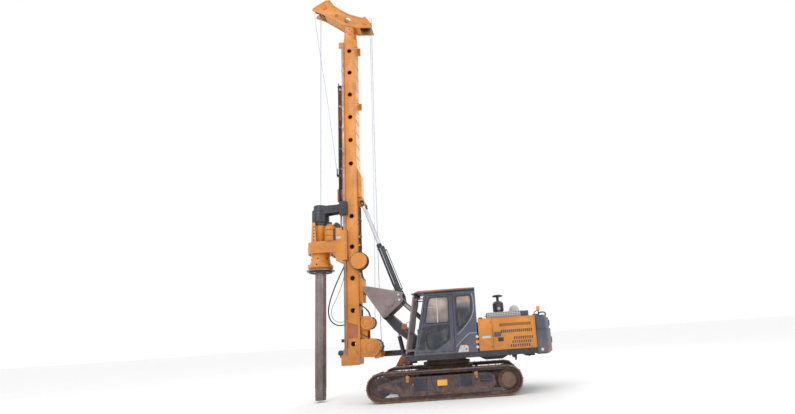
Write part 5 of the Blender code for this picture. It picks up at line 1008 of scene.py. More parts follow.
TILT_BASE, TILT_EYE = Vector((0, -1.25, 2.83)), Vector((0, -2.285, 5.7))
aim = (TILT_EYE - TILT_BASE).normalized()
for side, tag in ((1, "left"), (-1, "right")):
    base = TILT_BASE + Vector((0.2 * side, 0, 0))
    gland = Piece("tilt_gland_" + tag, "tube_" + tag, "black_paint", bevel=0.001)
    gland.lathe(base, aim, [(1.56, 0.071), (1.56, 0.082), (1.6, 0.082), (1.6, 0.078), (1.64, 0.078), (1.65, 0.06),
                            (1.652, 0.042)], 28)
    gland.lathe(base, aim, [(0.14, 0.071), (0.14, 0.079), (0.17, 0.079), (0.17, 0.071)], 28)
    gland.bolts(base + aim * 1.64, aim, 0.062, 8, 0.007, 0.008)
    back = Vector((0, aim.z, -aim.y))
    for distance in (0.2, 1.5):
        gland.lathe(base + aim * distance + back * 0.065, back, [(0, 0.024), (0.03, 0.024), (0.035, 0.018)], 14)
        gland.lathe(base + aim * distance - back * 0.075 + Vector((0.04 * side, 0, 0)), -back,
                    [(0, 0.02), (0.012, 0.02)], 12)
    gland.pipe([base + aim * 0.2 + back * 0.1, base + aim * 0.28 + back * 0.105, base + aim * 1.42 + back * 0.105,
                base + aim * 1.5 + back * 0.1], 0.05, 0.011)
    gland.tube([base + aim * 0.3 - back * 0.06 + Vector((0.05 * side, 0, 0)),
                base + aim * 1.5 - back * 0.06 + Vector((0.05 * side, 0, 0))], 0.01)
    gland.done()
    # painted highlight: a bright strip along the barrel's outer side
    barrel_highlight = Piece("tilt_barrel_highlight_" + tag, "tube_" + tag, "bright_rod")
    barrel_highlight.tube([base + aim * 0.34 + Vector((0.074 * side, 0, 0)), base + aim * 1.5 + Vector((0.074 * side, 0, 0))],
                0.009)
    barrel_highlight.done()
    eye = Piece("tilt_eye_" + tag, "piston_" + tag, "dark_iron", bevel=0.001)
    eye.lathe(TILT_EYE + Vector((0.2 * side - 0.035, 0, 0)), (1, 0, 0),
              [(0, 0.045), (0, 0.066), (0.07, 0.066), (0.07, 0.045)], 28)
    eye.lathe(TILT_EYE + Vector((0.2 * side, 0, 0)) - aim * 0.13, aim, [(0, 0.04), (0.02, 0.046), (0.07, 0.046)],
              22)
    eye.done()

# ------------------------------------------------------------------ cab


def front_y(z):
    """Where the cab's sloping front is at a height."""
    return -0.75 + 0.33 * (z - 1.1303) / 1.6


DOOR_PANE = round_corners([(front_y(1.94) + 0.15, 1.94), (0.2, 1.94), (0.2, 2.6), (front_y(2.6) + 0.15, 2.6)], 0.06)
LOWER_PANE = round_corners([(-0.42, 1.46), (-0.36, 1.3), (-0.16, 1.28), (0.2, 1.52), (0.2, 1.82), (-0.42, 1.66)],
                           0.035)
QUARTER_PANE = round_corners([(0.42, 1.68), (0.66, 1.92), (0.8, 2.14), (0.8, 2.6), (0.42, 2.6)], 0.06)

seals = Piece("door_seals", "door", "seal", "black_paint")
seals.frame(inset(DOOR_PANE, -0.026), 0.032, 1.15, 1.207)
seals.frame(inset(LOWER_PANE, -0.034), 0.04, 1.15, 1.206)
seals.prism([(-0.64, 1.79), (-0.44, 1.72), (-0.44, 1.46), (-0.4, 1.36), (-0.63, 1.4)], 1.2001, 1.204)
seals.prism([(-0.45, 1.7), (0.22, 1.86), (0.22, 1.93), (-0.56, 1.83), (-0.64, 1.79)], 1.2001, 1.2035)
seals.done()
Piece("door_lower_pane", "door", "window").prism(inset(LOWER_PANE, 0.002), 1.17, 1.178).done()
door = Piece("door_trim", "door", "slate_paint", bevel=0.0015)
outline = [(front_y(1.19) + 0.075, 1.205), (0.315, 1.205), (0.315, 2.645), (front_y(2.66) + 0.07, 2.645)]
door.frame(round_corners(outline, 0.05), 0.022, 1.199, 1.206)
door.box((1.199, 1.209), (0.225, 0.29), (1.25, 2.6))
for z in (1.33, 1.95, 2.5):
    door.lathe((1.2, 0.3, z - 0.05), (0, 0, 1), [(0, 0.014), (0.1, 0.014)], 14)
door.prism([(-0.52, 1.9), (0.2, 1.885), (0.2, 1.91), (-0.52, 1.925)], 1.199, 1.207)
door.done()
bars = Piece("door_window_bar", "door", "pale_paint", bevel=0.001)
bars.box((1.17, 1.195), (-0.105, -0.078), (1.935, 2.6))
bars.box((1.178, 1.19), (-0.4, -0.09), (2.34, 2.352))
bars.done()
latch = Piece("door_handle", "door", "black_paint", bevel=0.002)
oval = [(-0.535 + 0.088 * math.cos(a), 1.325 + 0.068 * math.sin(a)) for a in (math.pi * k / 14 for k in range(28))]
latch.prism(oval, 1.2, 1.204)
latch.frame(oval, 0.012, 1.2, 1.212)
latch.pipe([(1.205, -0.59, 1.335), (1.222, -0.575, 1.338), (1.224, -0.53, 1.338), (1.222, -0.5, 1.334),
            (1.205, -0.485, 1.33)], 0.008, 0.009)
latch.lathe((1.204, -0.475, 1.315), (1, 0, 0), [(0, 0.018), (0.006, 0.018), (0.008, 0.012)], 18)
latch.done()

# the quarter pane's glass: its painted reflection only reaches a thin band at the top, so the pane shows darker
LOOK["window_dark"] = glazing("window_dark", 2.25, 2.45)
cab_seals = Piece("cab_seals", "upper", "seal", "black_paint")
cab_seals.frame(inset(QUARTER_PANE, -0.026), 0.034, 1.15, 1.207)
cab_seals.frame(round_corners([(front_y(1.75) + 0.14, 1.73), (0.82, 1.73), (0.82, 2.62),
                               (front_y(2.62) + 0.13, 2.62)], 0.06), 0.03, 0.302, 0.36)
cab_seals.done()
Piece("quarter_pane", "upper", "window_dark", "window").prism(inset(QUARTER_PANE, 0.002), 1.17, 1.178).done()
panes = Piece("cab_panes", "upper", "window")
panes.prism(round_corners([(front_y(1.75) + 0.165, 1.755), (0.795, 1.755), (0.795, 2.595),
                           (front_y(2.6) + 0.155, 2.595)], 0.04), 0.33, 0.338)
panes.prism(round_corners([(0.395, 1.985), (1.115, 1.985), (1.115, 2.595), (0.395, 2.595)], 0.04), 0.89, 0.898, "y")
panes.done()

# painted highlight: light grey strips laid on the cab's side where its panels catch the light
LOOK["grey_edge"] = worn("grey_edge", (0.26, 0.26, 0.29), 0.45, tint=0.15, dirt=(0.16, 0.13, 0.12), dirty=0.4)
highlight_strip = Piece("cab_highlight_strip", "upper", "grey_edge", "slate_paint")
highlight_strip.pipe([(1.203, 0.36, 1.24), (1.203, 0.377, 1.312), (1.203, 0.5, 1.43), (1.203, 0.7, 1.6), (1.203, 0.78, 1.615),
            (1.203, 0.915, 1.615)], 0.03, 0.015, 10)
highlight_strip.pipe([(1.203, 0.42, 1.6), (1.203, 0.6, 1.77), (1.203, 0.78, 1.99), (1.203, 0.86, 2.2), (1.203, 0.875, 2.45),
            (1.203, 0.84, 2.66)], 0.04, 0.013, 10)
highlight_strip.done()
shell = Piece("cab_trim", "upper", "slate_paint", bevel=0.002)
shell.box((1.199, 1.212), (-0.74, 0.92), (1.135, 1.175))
shell.prism([(front_y(1.2) + 0.004, 1.18), (front_y(1.2) + 0.045, 1.18), (front_y(2.7) + 0.045, 2.7),
             (front_y(2.7) + 0.004, 2.7)], 1.199, 1.212)
shell.box((1.199, 1.21), (-0.38, 0.9), (2.665, 2.7))
shell.box((1.199, 1.21), (0.345, 0.375), (1.18, 2.66))
shell.box((1.199, 1.209), (0.87, 0.905), (1.64, 2.66))
for x in (0.36, 1.13):
    shell.box((x, x + 0.03), (0.918, 0.93), (1.2, 2.68))
shell.box((0.36, 1.16), (0.918, 0.928), (1.93, 1.96))
shell.frame(round_corners([(-0.4, 1.2), (0.85, 1.2), (0.85, 1.68), (-0.5, 1.62)], 0.05), 0.02, 0.302, 0.312)
shell.done()
LOOK["visor_paint"] = worn("visor_paint", (0.5, 0.2, 0.06), 0.6, tint=0.25, dirt=(0.12, 0.08, 0.07), dirty=0.6,
                           dust=0.2)
visor = Piece("visor_top", "upper", "visor_paint", "slate_paint", bevel=0.003)
visor.prism([(-0.66, 2.766), (0.925, 2.788), (0.925, 2.806), (-0.58, 2.806)], 0.32, 1.2335)
visor.done()
under = Piece("visor_edge", "upper", "black_paint", bevel=0.002)
under.prism([(-0.755, 2.728), (0.935, 2.748), (0.935, 2.764), (-0.7, 2.752)], 1.222, 1.2335)
under.box((0.33, 1.2), (-0.765, -0.72), (2.722, 2.748))
for x in (0.45, 0.62, 0.92, 1.08):
    under.bolt((x, -0.3, 2.806), (0, 0, 1), 0.014, 0.01)
    under.bolt((x, 0.7, 2.806), (0, 0, 1), 0.014, 0.01)
under.pipe([(1.16, -0.62, 2.66), (1.15, -0.6, 2.45), (1.16, -0.66, 2.2), (1.15, -0.7, 1.9), (1.16, -0.76, 1.6)],
           0.04, 0.016)
under.pipe([(1.12, -0.55, 2.68), (1.19, -0.58, 2.6), (1.18, -0.66, 2.5), (1.13, -0.68, 2.42)], 0.03, 0.012)
under.tube([(0.62, front_y(1.5) - 0.012, 1.48), (0.7, front_y(1.9) - 0.02, 1.9), (0.8, front_y(2.3) - 0.014, 2.3)],
           0.009)
under.tube([(0.8, front_y(1.72) - 0.012, 1.72), (0.78, front_y(2.48) - 0.012, 2.48)], 0.007)
under.box((0.55, 0.68), (front_y(1.42) - 0.03, front_y(1.42)), (1.38, 1.45))
under.done()
for k, x in enumerate((0.45, 1.05)):
    lamp = Piece(f"cab_lamp_{k}", "upper", "black_paint", bevel=0.002)
    lamp.lathe((x, -0.66, 2.68), (0, -1, -0.25),
               [(-0.05, 0.03), (-0.04, 0.05), (0.03, 0.058), (0.035, 0.05), (0.03, 0.048)], 24)
    lamp.box((x - 0.015, x + 0.015), (-0.67, -0.62), (2.69, 2.735))
    lamp.done()
    glass = Piece(f"cab_lamp_glass_{k}", "upper", "clear_lamp", "window")
    glass.lathe((x, -0.66, 2.68), (0, -1, -0.25), [(0.02, 0.048), (0.031, 0.046), (0.036, 0.03), (0.038, 0.004)],
                24)
    glass.done()
mirror = Piece("cab_mirror", "upper", "mud_brown", "dusty_paint", bevel=0.006)
mirror.prism(round_corners([(-1.045, 1.83), (-0.905, 1.845), (-0.9, 1.965), (-1.03, 1.975)], 0.03), 1.195, 1.235)
mirror.pipe([(1.17, -0.86, 1.72), (1.21, -0.92, 1.76), (1.215, -0.97, 1.84)], 0.02, 0.009)
mirror.pipe([(1.17, -0.82, 2.02), (1.2, -0.88, 2.0), (1.212, -0.94, 1.96)], 0.02, 0.008)
mirror.done()
box = Piece("cab_corner_box", "upper", "pale_paint", bevel=0.004)
box.prism(round_corners([(0.395, 1.15), (0.675, 1.15), (0.675, 1.3), (0.6, 1.325), (0.47, 1.325)], 0.02), 1.199,
          1.214)
box.done()
studs = Piece("cab_studs", "upper", "black_paint", bevel=0.001)
studs.lathe((1.214, 0.615, 1.22), (1, 0, 0), [(-0.002, 0.022), (0.006, 0.022), (0.008, 0.015)], 18)
studs.bolts((1.213, 0.53, 1.235), (1, 0, 0), 0.055, 3, 0.008, 0.008)
for z in (1.517, 1.253):
    studs.lathe((1.2, 0.912, z), (1, 0, 0), [(-0.02, 0.038), (0.01, 0.04), (0.012, 0.034)], 24)
studs.done()
lamps = Piece("side_lamps", "upper", "clear_lamp", "window")
for z in (1.517, 1.253):
    lamps.lathe((1.2, 0.912, z), (1, 0, 0), [(0.005, 0.037), (0.016, 0.035), (0.022, 0.022), (0.024, 0.004)], 24)
lamps.done()
marks = Piece("side_markers", "upper", "amber", "orange_paint")
marks.lathe((1.19, 0.912, 1.385), (1, 0, 0), [(-0.01, 0.04), (0.018, 0.04), (0.024, 0.03), (0.026, 0.005)], 24)
marks.done()

# the driver's seat
SEAT_X = 0.755
base = Piece("seat_base", "upper", "dark_iron", bevel=0.004)
base.box((SEAT_X - 0.29, SEAT_X + 0.29), (0.0, 0.3), (1.181, 1.27))
base.lathe((SEAT_X, 0.2, 1.27), (0, 0, 1), [(0, 0.16), (0.03, 0.15), (0.2, 0.1), (0.26, 0.13), (0.3, 0.15)], 28)
for x in (SEAT_X - 0.375, SEAT_X + 0.255):
    base.prism(round_corners([(-0.14, 1.19), (0.38, 1.19), (0.38, 1.73), (-0.02, 1.76), (-0.14, 1.7)], 0.05), x,
               x + 0.12)
    base.pipe([(x + 0.06, -0.04, 1.74), (x + 0.06, -0.05, 1.84), (x + 0.055, -0.07, 1.92)], 0.02, 0.012)
    base.lathe((x + 0.055, -0.07, 1.9), (0, -0.1, 1), [(0, 0.016), (0.03, 0.022), (0.07, 0.024), (0.09, 0.012)], 16)
base_piece = base.done()
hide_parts("driver_seat")


def cushion(name, size, bulge, place, lean):
    """A crowned pad: a rounded block with piped edges and two sewn channels."""
    piece = Piece(name, "upper", "seat_cloth", "black_paint")
    steps = 20
    rings = []
    for i in range(steps + 1):
        v = -1 + 2 * i / steps
        ring = []
        for k in range(40):
            a = 2 * math.pi * k / 40
            c, s = math.cos(a), math.sin(a)
            w = math.copysign(abs(c) ** 0.35, c)
            t = math.copysign(abs(s) ** 0.5, s)
            taper = (1 - abs(v) ** 6) ** 0.3 * 0.9 + 0.1
            crown = 1 + bulge * (1 - v * v) * (1 - w * w)
            channel = 1 - 0.16 * math.exp(-((abs(v) - 0.45) / 0.05) ** 2)
            ring.append(Vector((w * size[0] * (0.94 + 0.06 * taper), v * size[1],
                                t * size[2] * taper * crown * channel)))
        rings.append(ring)
    turn = Matrix.Rotation(lean, 3, "X")
    piece.loft([[Vector(place) + turn @ p for p in ring] for ring in rings])
    return piece.done(60, 1)


cushion("seat_cushion", (0.235, 0.26, 0.07), 0.25, (SEAT_X, 0.2, 1.63), 0.06)
cushion("seat_back", (0.225, 0.31, 0.06), 0.25, (SEAT_X, 0.475, 1.93), 1.38)
cushion("seat_headrest", (0.13, 0.085, 0.05), 0.25, (SEAT_X, 0.535, 2.24), 1.38)

# ------------------------------------------------------------------ side panels
LOUVRES = ((1.53, 2.31, 1.735, 1.81, 16), (1.55, 2.33, 1.565, 1.645, 16), (1.88, 2.34, 1.385, 1.46, 9),
           (1.83, 2.29, 1.29, 1.36, 9), (1.78, 2.25, 1.19, 1.265, 9))
for side, body, look, tag in ((1, "panel_rear", "orange_paint", "left"),
                              (-1, "panel_right", "slate_paint", "right")):
    # painted shade: flat black strips on the panel stand for the dark louvre openings
    slots = Piece("louvre_slot_shade_" + tag, body, "seal", "black_paint")
    hoods = Piece("louvre_hoods_" + tag, body, look, bevel=0.001)
    face, lean = 1.198 * side, 0.012
    for y0, y1, z0, z1, count in LOUVRES:
        for k in range(count):
            y = y0 + (y1 - y0) * k / (count - 1)
            low, high = sorted((face - 0.001 * side, face + 0.0012 * side))
            slots.prism([(y - 0.015, z0), (y + 0.013, z0), (y + 0.013 + lean, z1), (y - 0.015 + lean, z1)], low,
                        high)
            rings = []
            for share, wide in ((0.0, 0.2), (0.15, 1.0), (0.85, 1.0), (1.0, 0.2)):
                z, yy = z0 + (z1 - z0) * share, y + 0.012 + lean * share
                rings.append([Vector((face, yy + 0.002, z)), Vector((face + 0.006 * wide * side, yy + 0.001, z)),
                              Vector((face + 0.005 * wide * side, yy + 0.006, z)), Vector((face, yy + 0.011, z))])
            hoods.loft(rings)
    low, high = sorted((face - 0.001 * side, face + 0.004 * side))
    hoods.frame(round_corners([(1.35, 1.16), (2.435, 1.16), (2.435, 1.945), (1.35, 1.945)], 0.03), 0.012, low, high)
    slots.done()
    hoods.done()
    locks = Piece("panel_lock_" + tag, body, "black_paint", bevel=0.002)
    low, high = sorted((face, face + 0.006 * side))
    locks.prism(round_corners([(1.455, 1.355), (1.6, 1.355), (1.6, 1.455), (1.455, 1.455)], 0.012), low, high)
    locks.lathe((high if side > 0 else low, 1.51, 1.405), (side, 0, 0), [(0, 0.02), (0.006, 0.02), (0.008, 0.013)],
                16)
    locks.box((min(low, high) - 0.002, max(low, high) + 0.008), (1.545, 1.575), (1.385, 1.425))
    locks.done()
front_trim = Piece("panel_front_trim", "panel_front", "orange_paint", bevel=0.001)
front_trim.frame(round_corners([(0.975, 1.16), (1.312, 1.16), (1.312, 1.945), (0.975, 1.945)], 0.03), 0.012, 1.197,
                 1.202)
front_trim.done()
plate = Piece("panel_plate_front", "panel_front", "pale_paint", bevel=0.0005)
plate.prism(round_corners([(1.05, 1.455), (1.27, 1.455), (1.27, 1.515), (1.05, 1.515)], 0.008), 1.1981, 1.2)
plate.done()
plate = Piece("panel_plate_rear", "panel_rear", "slate_paint", bevel=0.0005)
plate.prism(round_corners([(1.345, 1.475), (1.53, 1.475), (1.545, 1.53), (1.53, 1.6), (1.345, 1.6)], 0.012), 1.1981,
            1.2005)
plate.done()
catch = Piece("panel_front_catch", "panel_front", "black_paint", bevel=0.001)
catch.lathe((1.198, 1.285, 1.86), (1, 0, 0), [(0, 0.014), (0.005, 0.014), (0.006, 0.008)], 16)
catch.lathe((1.198, 1.285, 1.24), (1, 0, 0), [(0, 0.014), (0.005, 0.014), (0.006, 0.008)], 16)
catch.done()

# ------------------------------------------------------------------ deck
deck = Piece("deck_dark_parts", "upper", "black_paint", bevel=0.002)
deck.lathe((0.1, 1.575, 2.235), (1, 0, 0), [(0.0, 0.08), (0.02, 0.118), (0.12, 0.125), (0.14, 0.118), (0.3, 0.118),
                                            (0.33, 0.09), (0.33, 0.03)], 36)
deck.lathe((0.43, 1.575, 2.235), (1, 0, 0), [(-0.005, 0.06), (0.006, 0.06), (0.008, 0.05)], 28)
deck.pipe([(0.15, 1.6, 2.12), (0.18, 1.75, 2.08), (0.3, 1.86, 2.0)], 0.03, 0.05, 16)
for y in (1.55, 1.63):
    deck.box((0.05, 0.35), (y - 0.01, y + 0.01), (1.975, 2.12))
deck.lathe((0.15, 1.57, 2.58), (0, 0, 1), [(0, 0.12), (0.015, 0.15), (0.03, 0.15), (0.06, 0.08), (0.07, 0.02)], 32)
deck.pipe([(0.93, 2.475, 1.96), (0.94, 2.49, 2.05), (0.95, 2.56, 2.09)], 0.03, 0.012)
deck.rod((0.95, 2.593, 1.93), (0.95, 2.593, 2.1), 0.014)
deck.lathe((0.95, 2.593, 2.085), (0, 0, 1), [(0, 0.03), (0.015, 0.03), (0.02, 0.024)], 20)
for x in (0.9, 1.0):
    deck.box((x - 0.035, x + 0.035), (1.02, 1.09), (1.97, 2.0))
deck.box((1.05, 1.17), (0.985, 0.985 + 0.08), (1.972, 2.0))
deck.pipe([(-1.12, -0.35, 1.94), (-1.12, -0.35, 2.25), (-1.12, -0.3, 2.3), (-1.12, 0.0, 2.3), (-1.12, 0.75, 2.3),
           (-1.12, 0.82, 2.25), (-1.12, 0.82, 1.94)], 0.04, 0.016)
deck.tube([(-1.12, -0.35, 2.1), (-1.12, 0.82, 2.1)], 0.012)
deck.pipe([(-1.14, -0.86, 1.56), (-1.14, -0.86, 1.8), (-1.14, -0.8, 1.86), (-1.14, -0.56, 1.86),
           (-1.14, -0.5, 1.93)], 0.03, 0.014)
deck.lathe((-0.95, 0.2, 1.93), (0, 0, 1), [(0, 0.06), (0.03, 0.06), (0.035, 0.07), (0.06, 0.07), (0.065, 0.05)], 24)
for k in range(7):
    deck.box((-1.0, -0.5), (1.25 + 0.14 * k, 1.3 + 0.14 * k), (1.972, 1.985))
deck.done()
disc = Piece("filter_disc", "upper", "pale_paint")
disc.lathe((0.437, 1.575, 2.235), (1, 0, 0), [(0, 0.045), (0.006, 0.045), (0.008, 0.038)], 28)
disc.done()
grid = Piece("hood_guard_plate", "hood", "pale_paint", bevel=0.001)
columns, rows, wide, tall = 13, 3, 0.87 / 13, 0.135 / 3
for i in range(columns):
    for j in range(rows):
        y, z = 1.225 + wide * i, 1.982 + tall * j
        grid.frame([(y, z), (y + wide, z), (y + wide, z + tall), (y, z + tall)], 0.013, 1.0215, 1.0265)
grid.box((1.0215, 1.0265), (1.215, 1.2275), (1.98, 2.12))
grid.box((1.0215, 1.0265), (2.0935, 2.106), (1.98, 2.12))
grid.done()
# painted shade: a black sheet behind the guard plate stands for the shaded space behind the grille
back = Piece("hood_grille_shade", "hood", "seal", "black_paint")
back.box((1.0203, 1.0212), (1.23, 2.09), (1.985, 2.115))
back.done()
cover = Piece("hood_trim", "hood", "slate_paint", bevel=0.002)
for k in range(9):
    cover.box((0.5, 0.94), (1.32 + 0.1 * k, 1.36 + 0.1 * k), (2.108, 2.122))
cover.pipe([(0.64, 1.197, 2.03), (0.64, 1.17, 2.04), (0.8, 1.17, 2.04), (0.8, 1.197, 2.03)], 0.02, 0.009)
cover.done()
beacon = Piece("beacon", "upper", "amber", "orange_paint", bevel=0.002)
beacon.lathe((0.95, 2.593, 2.105), (0, 0, 1), [(0, 0.045), (0.01, 0.05), (0.08, 0.046), (0.1, 0.036),
                                               (0.106, 0.01)], 28)
for k in range(4):
    beacon.ring((0.95, 2.593, 2.12 + 0.02 * k), (0, 0, 1), 0.049, 0.003, 28, 6)
beacon.done()
exhaust = Piece("exhaust_trim", "upper", "pale_paint", bevel=0.001)
for z in (2.0, 2.15):
    exhaust.lathe((0.15, 2.02, z), (0, 0, 1), [(-0.01, 0.148), (-0.008, 0.156), (0.008, 0.156), (0.01, 0.148)], 36)
exhaust.done()
tank = Piece("tank_trim", "upper", "slate_paint", bevel=0.002)
for y in (-0.3, 0.2, 0.75):
    tank.box((-1.197, -1.188), (y, y + 0.06), (1.16, 1.9))
tank.frame(round_corners([(-0.44, 1.18), (0.92, 1.18), (0.92, 1.88), (-0.36, 1.88)], 0.05), 0.015, -1.195, -1.189)
tank.box((-1.2, -1.188), (-0.88, -0.52), (1.22, 1.24))
tank.done()

# ------------------------------------------------------------------ counterweight
tail = Piece("counterweight_trim", "upper", "slate_paint", bevel=0.003)
for x in (-0.7, 0.7):
    tail.pipe([(x, 2.62, 1.96), (x, 2.64, 2.03), (x, 2.72, 2.05), (x, 2.8, 2.03), (x, 2.82, 1.96)], 0.02, 0.02, 10)
for x in (-0.35, 0.35):
    tail.lathe((x, 2.955, 1.3), (0, 1, 0), [(-0.02, 0.09), (0.015, 0.09), (0.02, 0.08), (0.005, 0.06),
                                            (0.005, 0.01)], 32)
tail.box((-0.25, 0.25), (2.955, 2.975), (1.68, 1.84))
tail.done()
seam = Piece("counterweight_seam", "upper", "seal", "black_paint")
arc = []
for k in range(33):
    a = math.asin(1.2 / 2.98) * (k / 16 - 1)
    arc.append((2.981 * math.sin(a), 2.981 * math.cos(a), 1.598))
seam.tube([(-1.2005, 2.47, 1.598)] + arc + [(1.2005, 2.47, 1.598)], 0.005, 6)
seam.tube([(1.2005, 2.463, 0.99), (1.2005, 2.463, 1.96)], 0.005, 6)
seam.done()
lamps = Piece("tail_lamps", "upper", "clear_lamp", "window")
for side in (1, -1):
    lamps.lathe((1.2 * side, 2.58, 1.085), (side, 0, 0),
                [(-0.004, 0.038), (0.006, 0.036), (0.012, 0.022), (0.013, 0.004)], 24)
lamps.done()
reds = Piece("tail_reds", "upper", "red_lamp", "orange_paint")
for side in (1, -1):
    reds.lathe((1.2 * side, 2.66, 1.08), (side, 0, 0), [(-0.004, 0.028), (0.006, 0.026), (0.01, 0.004)], 20)
    a = 0.33 * side
    reds.lathe((2.975 * math.sin(a), 2.975 * math.cos(a), 1.15), (math.sin(a), math.cos(a), 0),
               [(-0.01, 0.05), (0.012, 0.048), (0.02, 0.03), (0.022, 0.005)], 28)
reds.done()
frame_trim = Piece("deck_frame_trim", "upper", "dark_iron", bevel=0.003)
for side in (1, -1):
    low, high = sorted((1.2 * side, 1.208 * side))
    frame_trim.box((low, high), (-0.98, 2.45), (1.112, 1.13))
    frame_trim.box((low, high), (-0.98, 2.45), (1.0, 1.016))
    for y in (-0.6, 0.0, 0.6, 1.2, 1.8, 2.3):
        frame_trim.bolt((1.2 * side, y, 1.06), (side, 0, 0), 0.014, 0.012)
    frame_trim.prism([(1.78, 1.0), (1.92, 1.0), (1.9, 0.86), (1.86, 0.86), (1.85, 0.93), (1.8, 0.93)],
                     1.1 * side - 0.03, 1.1 * side + 0.03)
    frame_trim.prism([(2.2, 1.0), (2.28, 1.0), (2.25, 0.93), (2.22, 0.93)], 1.1 * side - 0.02, 1.1 * side + 0.02)
    frame_trim.prism([(0.9, 1.0), (1.75, 1.0), (1.55, 0.9), (1.1, 0.9)], 0.8 * side - 0.02, 0.8 * side + 0.02)
frame_trim.box((-0.6, 0.6), (2.2, 2.44), (0.92, 1.0))
for k in range(40):
    a = 2 * math.pi * k / 40
    frame_trim.bolt((0.6 * math.cos(a), 0.6 * math.sin(a), 1.0), (0, 0, -1), 0.014, 0.014)
frame_trim.done()
front = Piece("deck_front_parts", "upper", "mud_brown", "dusty_paint", bevel=0.003)
front.box((-0.65, -0.51), (-1.96, -1.94), (1.105, 1.275))
front.prism(round_corners([(-1.36, 0.88), (-0.96, 0.9), (-0.97, 1.12), (-1.2, 1.14)], 0.03), 0.5, 0.512)
front.pipe([(0.505, -1.22, 1.0), (0.53, -1.14, 0.98), (0.505, -1.06, 0.96)], 0.03, 0.02)
front.box((0.34, 1.15), (-1.01, -0.99), (1.02, 1.1))
front.done()
sides = Piece("tower_trim", "upper", "black_paint", bevel=0.002)
for side in (1, -1):
    for y, z, r in ((*BOOM_FOOT, 0.1), (*LINK_FOOT, 0.08)):
        sides.lathe((0.24 * side, y, z), (side, 0, 0),
                    [(-0.002, r), (0.012, r), (0.016, r * 0.9), (0.016, r * 0.5)], 28)
        sides.lathe((0.255 * side, y, z), (side, 0, 0), [(-0.002, 0.038), (0.01, 0.036), (0.012, 0.02)], 20)
        sides.bolts((0.256 * side, y, z), (side, 0, 0), r * 0.72, 6, 0.008, 0.008)
for x in (-0.28, -0.33, -0.38, 0.27):
    sides.pipe([(x, -1.0, 1.14), (x, -0.9, 1.25), (x, -0.7, 1.3), (x, -0.4, 1.22), (x, -0.3, 1.14)], 0.04, 0.016)
sides.done()

# ------------------------------------------------------------------ tracks
PLATE_RADIUS, AXLE_Z, WHEELBASE, SHOES = 0.363, 0.385, 3.28, 46
LOOP = 2 * WHEELBASE + 2 * math.pi * PLATE_RADIUS


def track_place(distance):
    """A place on the loop: the arc's centre or straight's foot (y, z) and the outward direction there."""
    arc, half = math.pi * PLATE_RADIUS, WHEELBASE / 2
    distance %= LOOP
    if distance < WHEELBASE:
        return Vector((0, -half + distance, AXLE_Z)), Vector((0, 0, -1))
    distance -= WHEELBASE
    if distance < arc:
        a = distance / PLATE_RADIUS - math.pi / 2
        return Vector((0, half, AXLE_Z)), Vector((0, math.cos(a), math.sin(a)))
    distance -= arc
    if distance < WHEELBASE:
        return Vector((0, half - distance, AXLE_Z)), Vector((0, 0, 1))
    a = (distance - WHEELBASE) / PLATE_RADIUS + math.pi / 2
    return Vector((0, -half, AXLE_Z)), Vector((0, math.cos(a), math.sin(a)))


# dark navy for the painted shade in the track frames' recesses
LOOK["navy_shadow"] = worn("navy_shadow", (0.022, 0.022, 0.04), 0.6, tint=0.3, dirt=(0.16, 0.1, 0.08), dirty=0.5,
                           streaks=0.35, edge=(0.2, 0.14, 0.11), dust=0.3)


def bar_across(piece, foot, out, along, edge, a, r, lean):
    """A bar right across the track, between two places along it and two heights; its top is wider by lean."""
    rings = []
    for height, grow in ((r[0], 0.0), (r[1], lean)):
        rings.append([foot + Vector((x, 0, 0)) + out * height + along * (place + (grow if place > 0 else -grow))
                      for x, place in ((-edge, a[0]), (edge, a[0]), (edge, a[1]), (-edge, a[1]))])
    piece.loft(rings)


